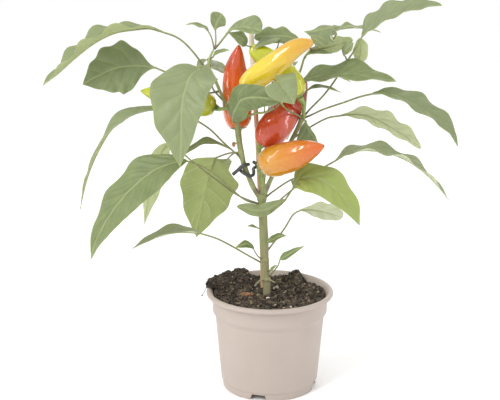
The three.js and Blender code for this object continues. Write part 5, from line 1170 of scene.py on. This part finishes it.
class CHILLI_OT_buds(bpy.types.Operator):
    """Add the twig of unopened flower buds"""

    bl_idname = "chilli.buds"
    bl_label = "Flower buds"

    def execute(self, context):
        bud_finish, twig_finish, dry_finish = 0, 1, 2
        skin = Skin()
        add_tube(skin, smooth_line(BUD_TWIG[0], 36), BUD_TWIG[1], 12, twig_finish)
        ribs = lambda t, w: 1 + 0.06 * np.cos(5 * t) * np.sin(math.pi * w)
        for start, tip in BUDS:
            out = unit(np.subtract(tip, start))
            neck = smooth_line([start, np.add(tip, out * 0.5)], 8)
            add_tube(skin, neck, [0.75, 0.6, 0.6, 0.8], 10, twig_finish)
            bud = smooth_line([tip, np.add(tip, out * 5)], 0.5 - 0.5 * np.cos(np.linspace(0, math.pi, 18)))
            add_tube(skin, bud, [0.7, 1.3, 1.75, 1.95, 1.95, 1.75, 1.4, 0.9, 0.3], 20, bud_finish, ribs)
        add_tube(skin, smooth_line(DRY_BUD[:-1], 8), [0.9, 0.8], 10, twig_finish)
        add_ball(skin, DRY_BUD[-1], (1.9, 1.9, 2.6), 12, 16, 0.25, 2, 5, finish=dry_finish)
        skin.piece("flower_buds_cluster", [bud_skin(), green_stalk(), bark()], "flower_buds", "calyx_green")
        return {"FINISHED"}


# ---------- pot and peat ----------

WALL_SIDES = 384
FOOT_MIDDLE = 48
NOTCH_COUNT = 4
NOTCH_TURN = 0.58  # of half a turn
NOTCH_HALF = 8.6
NOTCH_SLOPE = 1.7
NOTCH_HEIGHT = 5.8
DRAIN_COUNT = 4
DRAIN_CIRCLE = 30
DRAIN_RADIUS = 3.5
PEAT_SIDES = 320
PEAT_RADIUS = 57


def rounded(outline, radius, steps=3):
    """Rounds the corners of an open outline of (radius, height)."""
    outline = np.asarray(outline, float)
    made = [outline[0]]
    for before, corner, after in zip(outline, outline[1:], outline[2:]):
        into, away = before - corner, after - corner
        reach = min(radius, 0.4 * np.linalg.norm(into), 0.4 * np.linalg.norm(away))
        a, b = corner + unit(into) * reach, corner + unit(away) * reach
        for t in np.linspace(0, 1, steps + 1):
            made.append((1 - t) ** 2 * a + 2 * t * (1 - t) * corner + t * t * b)
    return np.array([*made, outline[-1]])


def pot_outline(rim, top):
    """The wall's section as (radius, height), from the middle of the base outside to its middle inside."""
    lip, collar = top - 5.2, top - 21.7
    foot = [(0, 0), (14, 0), (16, 6), (43.3, 6), (44.8, 0), (48.3, 0), (48.7, 7), (50, 8.2)]
    outside = [(55.9, collar - 4.8), (58.6, collar - 0.2), (58.8, collar + 0.6), (59.1, lip)]
    roll = [
        (rim - 1.2, lip + 0.2), (rim, lip + 1.6), (rim, top - 1.6), (rim - 1.6, top), (rim - 3.8, top),
        (rim - 5.4, top - 1.8),
    ]
    inside = [(57.5, lip - 0.5), (57.1, collar + 0.6), (54.4, collar - 4.6), (48.3, 8.5), (0, 8.5)]
    return rounded(foot + outside + roll + inside, 0.9)


class CHILLI_OT_pot(bpy.types.Operator):
    """Mould the pot, with its collar, rolled rim, notched foot and drain holes"""

    bl_idname = "chilli.pot"
    bl_label = "Pot"

    def execute(self, context):
        s = context.scene.chilli_pot
        rim, top = s.rim_radius / MM, s.height / MM
        outline = pot_outline(rim, top)
        turn = np.arange(WALL_SIDES) * 2 * math.pi / WALL_SIDES
        radius, height = outline[:, :1], outline[:, 1:]
        stray = (s.out_of_round / MM) / rim * (np.cos(2 * turn + 0.8) + 0.5 * np.cos(3 * turn))
        radius = radius * (1 + stray * (height / top))
        # The notches in the foot's ring have sloping sides.
        pitch = 2 * math.pi / NOTCH_COUNT
        nearest = (turn + NOTCH_TURN * math.pi + pitch / 2) % pitch - pitch / 2
        notch = NOTCH_HEIGHT * np.clip((NOTCH_HALF - np.abs(nearest) * FOOT_MIDDLE) / NOTCH_SLOPE, 0, 1)
        ring = (outline[:, :1] > 30) & (height < 5.5)
        height = np.where(ring, np.maximum(height, notch), np.broadcast_to(height, radius.shape))
        grid = np.stack([radius * np.cos(turn), radius * np.sin(turn), height], -1)
        skin = Skin()
        skin.add_grid(grid, 0, closed=True)
        piece = skin.piece("pot_shell", [pot_plastic()], "pot", "pot_plastic", weld=True)
        self.drill(context, piece)
        piece.data.set_sharp_from_angle(angle=math.radians(38))
        return {"FINISHED"}

    def drill(self, context, pot):
        """Cuts the drain holes through the base."""
        drains = Skin()
        for k in range(DRAIN_COUNT):
            angle = (k + 0.5) * 2 * math.pi / DRAIN_COUNT
            x, y = DRAIN_CIRCLE * math.cos(angle), DRAIN_CIRCLE * math.sin(angle)
            add_tube(drains, smooth_line([(x, y, 2), (x, y, 12)], 2), [DRAIN_RADIUS] * 2, 40)
        cutter = bpy.data.objects.new("drain_cutter", bpy.data.meshes.new("drain_cutter"))
        cutter.data.from_pydata((np.vstack(drains.points) * MM).tolist(), [], drains.faces)
        context.scene.collection.objects.link(cutter)
        applied(pot, "BOOLEAN", operation="DIFFERENCE", object=cutter, solver="EXACT")
        bpy.data.objects.remove(cutter)


def peat_height(x, y, level):
    """Height of the peat in mm: low lumps, and the heaps pushed up near the rim."""
    height = level + 1.1 * np.sin(0.31 * x + 1.2) * np.cos(0.27 * y) + 0.8 * np.sin(0.19 * y - 0.23 * x)
    for hx, hy, rise, reach in HEAPS:
        height = height + rise * np.exp(-((x - hx) ** 2 + (y - hy) ** 2) / reach**2)
    return height


class CHILLI_OT_peat(bpy.types.Operator):
    """Fill the pot with peat, and scatter its crumbs, fibres and bark chip"""

    bl_idname = "chilli.peat"
    bl_label = "Peat"

    def execute(self, context):
        s = context.scene.chilli_peat
        level = s.level / MM
        draw = np.random.default_rng(SEED)
        skin = Skin()
        turn = (np.arange(PEAT_SIDES) * 2 * math.pi / PEAT_SIDES)[None, :]
        radius = np.linspace(0, PEAT_RADIUS, 60)[:, None]
        x, y = radius * np.cos(turn), radius * np.sin(turn)
        place = np.stack([x, y, np.zeros_like(x)], -1)
        lumps = 1.5 * rough(place, 7, 1, 4) + 0.7 * rough(place, 1.8, 2, 3)
        surface = np.stack([x, y, peat_height(x, y, level) + lumps], -1)
        walls = [
            np.stack([r * np.cos(turn[0]), r * np.sin(turn[0]), np.full(PEAT_SIDES, z)], -1)
            for r, z in ((56.6, 83), (53.7, 76.4), (47.6, 8.8), (0, 8.8))
        ]
        # How high each point stands; the peat's finish turns this into painted shade in the hollows.
        high = np.vstack([np.clip(0.5 + lumps / 3.2, 0, 1), np.full((len(walls), PEAT_SIDES), 0.3)])
        skin.add_grid(np.vstack([surface, np.stack(walls)])[::-1], 0, closed=True, high=high[::-1])
        for i, (middle, half, spin) in enumerate(SPILLS):
            add_ball(skin, middle, half, 56, 72, 0.5, 4.5, 3 + i, spin, high=0.6)
        skin.piece("peat_fill", [peat()], "soil", "peat", weld=True)
        finish = crumb()
        self.crumbs(s.crumbs, level, draw).piece("peat_crumbs", [finish], None, "peat")
        self.fibres(s.fibres, level, draw).piece("peat_fibres", [finish], None, "peat")
        chip = Skin()
        x, y = CHIP_PLACE
        middle = (x, y, float(peat_height(x, y, level)) + 2)
        add_ball(chip, middle, (7, 2.6, 2), 30, 40, 0.3, 2.5, 9, -0.25)
        chip.piece("bark_chip_flakes", [bark()], "bark_chip", "bark")
        return {"FINISHED"}

    def crumbs(self, count, level, draw):
        """Loose crumbs over the surface and on the spilt lumps, and one white grain of perlite."""
        skin = Skin()
        for _ in range(count):
            r, t = 55.5 * math.sqrt(draw.uniform(0.004, 1)), draw.uniform(0, 2 * math.pi)
            x, y = r * math.cos(t), r * math.sin(t)
            size = 0.5 + 1.7 * draw.uniform(0, 1) ** 3
            half = draw.uniform(0.5, 1, 3) * size
            z = float(peat_height(x, y, level)) + 0.4 * half[2] + draw.uniform(-0.2, 0.6)
            by_the_trunk, over_the_rim = math.hypot(x + 2, y) < 6, r > 53 and z > 101
            if not (by_the_trunk or over_the_rim):
                seed = draw.uniform(0, 50)
                add_ball(skin, (x, y, z), half, 5, 7, 0.35, size, seed, t, tone=draw.uniform(0, 0.97))
        for middle, half, _ in SPILLS:
            for _ in range(70):
                aim = unit(draw.normal(size=3) * (1, 1, 0.7) + (0, 0, 0.5))
                spot = np.add(middle, aim * half * 1.02)
                size = draw.uniform(0.4, 1.5)
                grain, seed = draw.uniform(0.5, 1, 3) * size, draw.uniform(0, 50)
                add_ball(skin, spot, grain, 5, 7, 0.35, size, seed, tone=draw.uniform(0, 0.9))
        add_ball(skin, (-2, -17, level + 1.6), (2.1, 1.6, 1.1), 14, 18, 0.12, 3, 4, 0.4, tone=1.0)
        return skin

    def fibres(self, count, level, draw):
        """Loose fibres that arch over the surface, and the root that hangs over the rim."""
        skin = Skin()
        for _ in range(count):
            r, t = 52 * math.sqrt(draw.uniform(0.02, 1)), draw.uniform(0, 2 * math.pi)
            x, y = r * math.cos(t), r * math.sin(t)
            aim, bend, reach = draw.uniform(0, 2 * math.pi), draw.uniform(-0.8, 0.8), draw.uniform(3, 10)
            points = []
            for k in range(5):
                a, d = aim + bend * k / 4, reach * (k / 4 - 0.5)
                px, py = x + d * math.cos(a), y + d * math.sin(a)
                lift = 0.5 + 1.6 * math.sin(math.pi * k / 4) * draw.uniform(0, 1)
                points.append((px, py, float(peat_height(px, py, level)) + lift))
            if max(math.hypot(p[0], p[1]) for p in points) < 55:
                radius = draw.uniform(0.14, 0.32)
                tone = draw.uniform(0.4, 0.95)
                add_tube(skin, smooth_line(points, 12), [radius, radius * 0.6], 6, tone=tone)
        add_tube(skin, smooth_line(HANGING_ROOT, 24), [0.45, 0.3, 0.3], 6, tone=0.3)
        add_ball(skin, HANGING_ROOT[-1], (0.9, 0.8, 0.9), 8, 10, 0.3, 1, 3, tone=0.1)
        return skin


# ---------- stage ----------

FLOOR_HALF = 9
FLOOR_DROP = 0.0004
LIGHTS_AIM = Vector((-0.01, 0, 0.24))
# Soft lights: where each stands and its two sides, in metres, and the setting that gives its power.
LIGHTS = {
    "Key softbox": ((-0.9, -1.2, 1.5), (0.4, 1.2), "key"),
    "Left strip": ((-1.3, -0.3, 0.5), (0.15, 1.0), "fill"),
    "Right strip": ((1.3, -0.5, 0.6), (0.15, 1.0), "fill"),
    "Rear softbox": ((0.5, 1.3, 1.1), (0.9, 0.7), "fill"),
}
CAMERA_PLACE = (-0.0202, -1.1, 0.484)
CAMERA_PITCH = 14.6  # degrees below level
CAMERA_LENS = 81.2
CAMERA_SENSOR = 36


def floor_finish(colour):
    """A plain matt floor with very faint clouds."""
    material, add = new_material("Plain matt floor")
    clouds = add("TexNoise", {"Vector": add("TexCoord", out="Object"), "Scale": 2.0, "Detail": 2.0})
    faint = add("MapRange", (clouds, 0.3, 0.7, 0, 0.3))
    colour = add("Mix", {0: faint, 6: colour, 7: "#fbfbfa"}, **LAYER)
    add("OutputMaterial", {"Surface": add("BsdfPrincipled", {"Base Color": colour, "Roughness": 0.8})})
    return material


class CHILLI_OT_stage(bpy.types.Operator):
    """Lay the plain floor and place the soft lights and the camera"""

    bl_idname = "chilli.stage"
    bl_label = "Floor, lights and camera"

    def execute(self, context):
        s = context.scene.chilli_stage
        scene = context.scene
        mesh = bpy.data.meshes.new("floor")
        half, drop = FLOOR_HALF, FLOOR_DROP
        corners = [(-half, -half, -drop), (half, -half, -drop), (half, half, -drop), (-half, half, -drop)]
        mesh.from_pydata(corners, [], [(0, 1, 2, 3)])
        mesh.materials.append(floor_finish(s.floor))
        floor = bpy.data.objects.new("floor", mesh)
        scene.collection.objects.link(floor)
        scene.world = bpy.data.worlds.new("Even white surround")
        scene.world.use_nodes = True
        sky = scene.world.node_tree.nodes["Background"]
        sky.inputs["Color"].default_value = (1, 1, 1, 1)
        sky.inputs["Strength"].default_value = s.sky
        for name, (place, size, power) in LIGHTS.items():
            light = bpy.data.lights.new(name, "AREA")
            light.shape = "RECTANGLE"
            light.size, light.size_y = size
            light.energy = getattr(s, power)
            lamp = bpy.data.objects.new(name, light)
            lamp.location = place
            lamp.rotation_euler = (LIGHTS_AIM - lamp.location).to_track_quat("-Z", "Y").to_euler()
            scene.collection.objects.link(lamp)
        camera = bpy.data.objects.new("Camera", bpy.data.cameras.new("Camera"))
        camera.data.sensor_width = CAMERA_SENSOR
        camera.data.lens = CAMERA_LENS
        camera.location = CAMERA_PLACE
        camera.rotation_euler = (math.radians(90 - CAMERA_PITCH), 0, 0)
        scene.collection.objects.link(camera)
        scene.camera = camera
        scene.view_settings.view_transform = "Standard"
        return {"FINISHED"}


# ---------- the add-on ----------

STEPS = (
    CHILLI_OT_pot, CHILLI_OT_peat, CHILLI_OT_stems, CHILLI_OT_stick, CHILLI_OT_leaves, CHILLI_OT_peppers,
    CHILLI_OT_buds, CHILLI_OT_stage,
)
GROUPS = {
    "chilli_pot": PotSettings, "chilli_peat": PeatSettings, "chilli_stems": StemSettings,
    "chilli_leaves": LeafSettings, "chilli_peppers": PepperSettings, "chilli_stage": StageSettings,
}


class CHILLI_PT_sidebar(bpy.types.Panel):
    """The plant's steps and the sizes and colours that they read"""

    bl_label = "Chilli plant"
    bl_space_type = "VIEW_3D"
    bl_region_type = "UI"
    bl_category = "Chilli plant"

    def draw(self, context):
        for step in STEPS:
            self.layout.operator(step.bl_idname)
        for name, group in GROUPS.items():
            box = self.layout.box()
            for setting in group.__annotations__:
                box.prop(getattr(context.scene, name), setting)


def register():
    for kind in (*GROUPS.values(), *STEPS, CHILLI_PT_sidebar):
        bpy.utils.register_class(kind)
    for name, group in GROUPS.items():
        setattr(bpy.types.Scene, name, bpy.props.PointerProperty(type=group))


def unregister():
    for name in GROUPS:
        delattr(bpy.types.Scene, name)
    for kind in (CHILLI_PT_sidebar, *reversed(STEPS), *reversed(GROUPS.values())):
        bpy.utils.unregister_class(kind)


def main():
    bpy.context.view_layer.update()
    register()
    bpy.ops.chilli.pot()
    bpy.ops.chilli.peat()
    bpy.ops.chilli.stems()
    bpy.ops.chilli.stick()
    bpy.ops.chilli.leaves()
    bpy.ops.chilli.peppers()
    bpy.ops.chilli.buds()
    bpy.ops.chilli.stage()


if __name__ == "__main__":
    main()
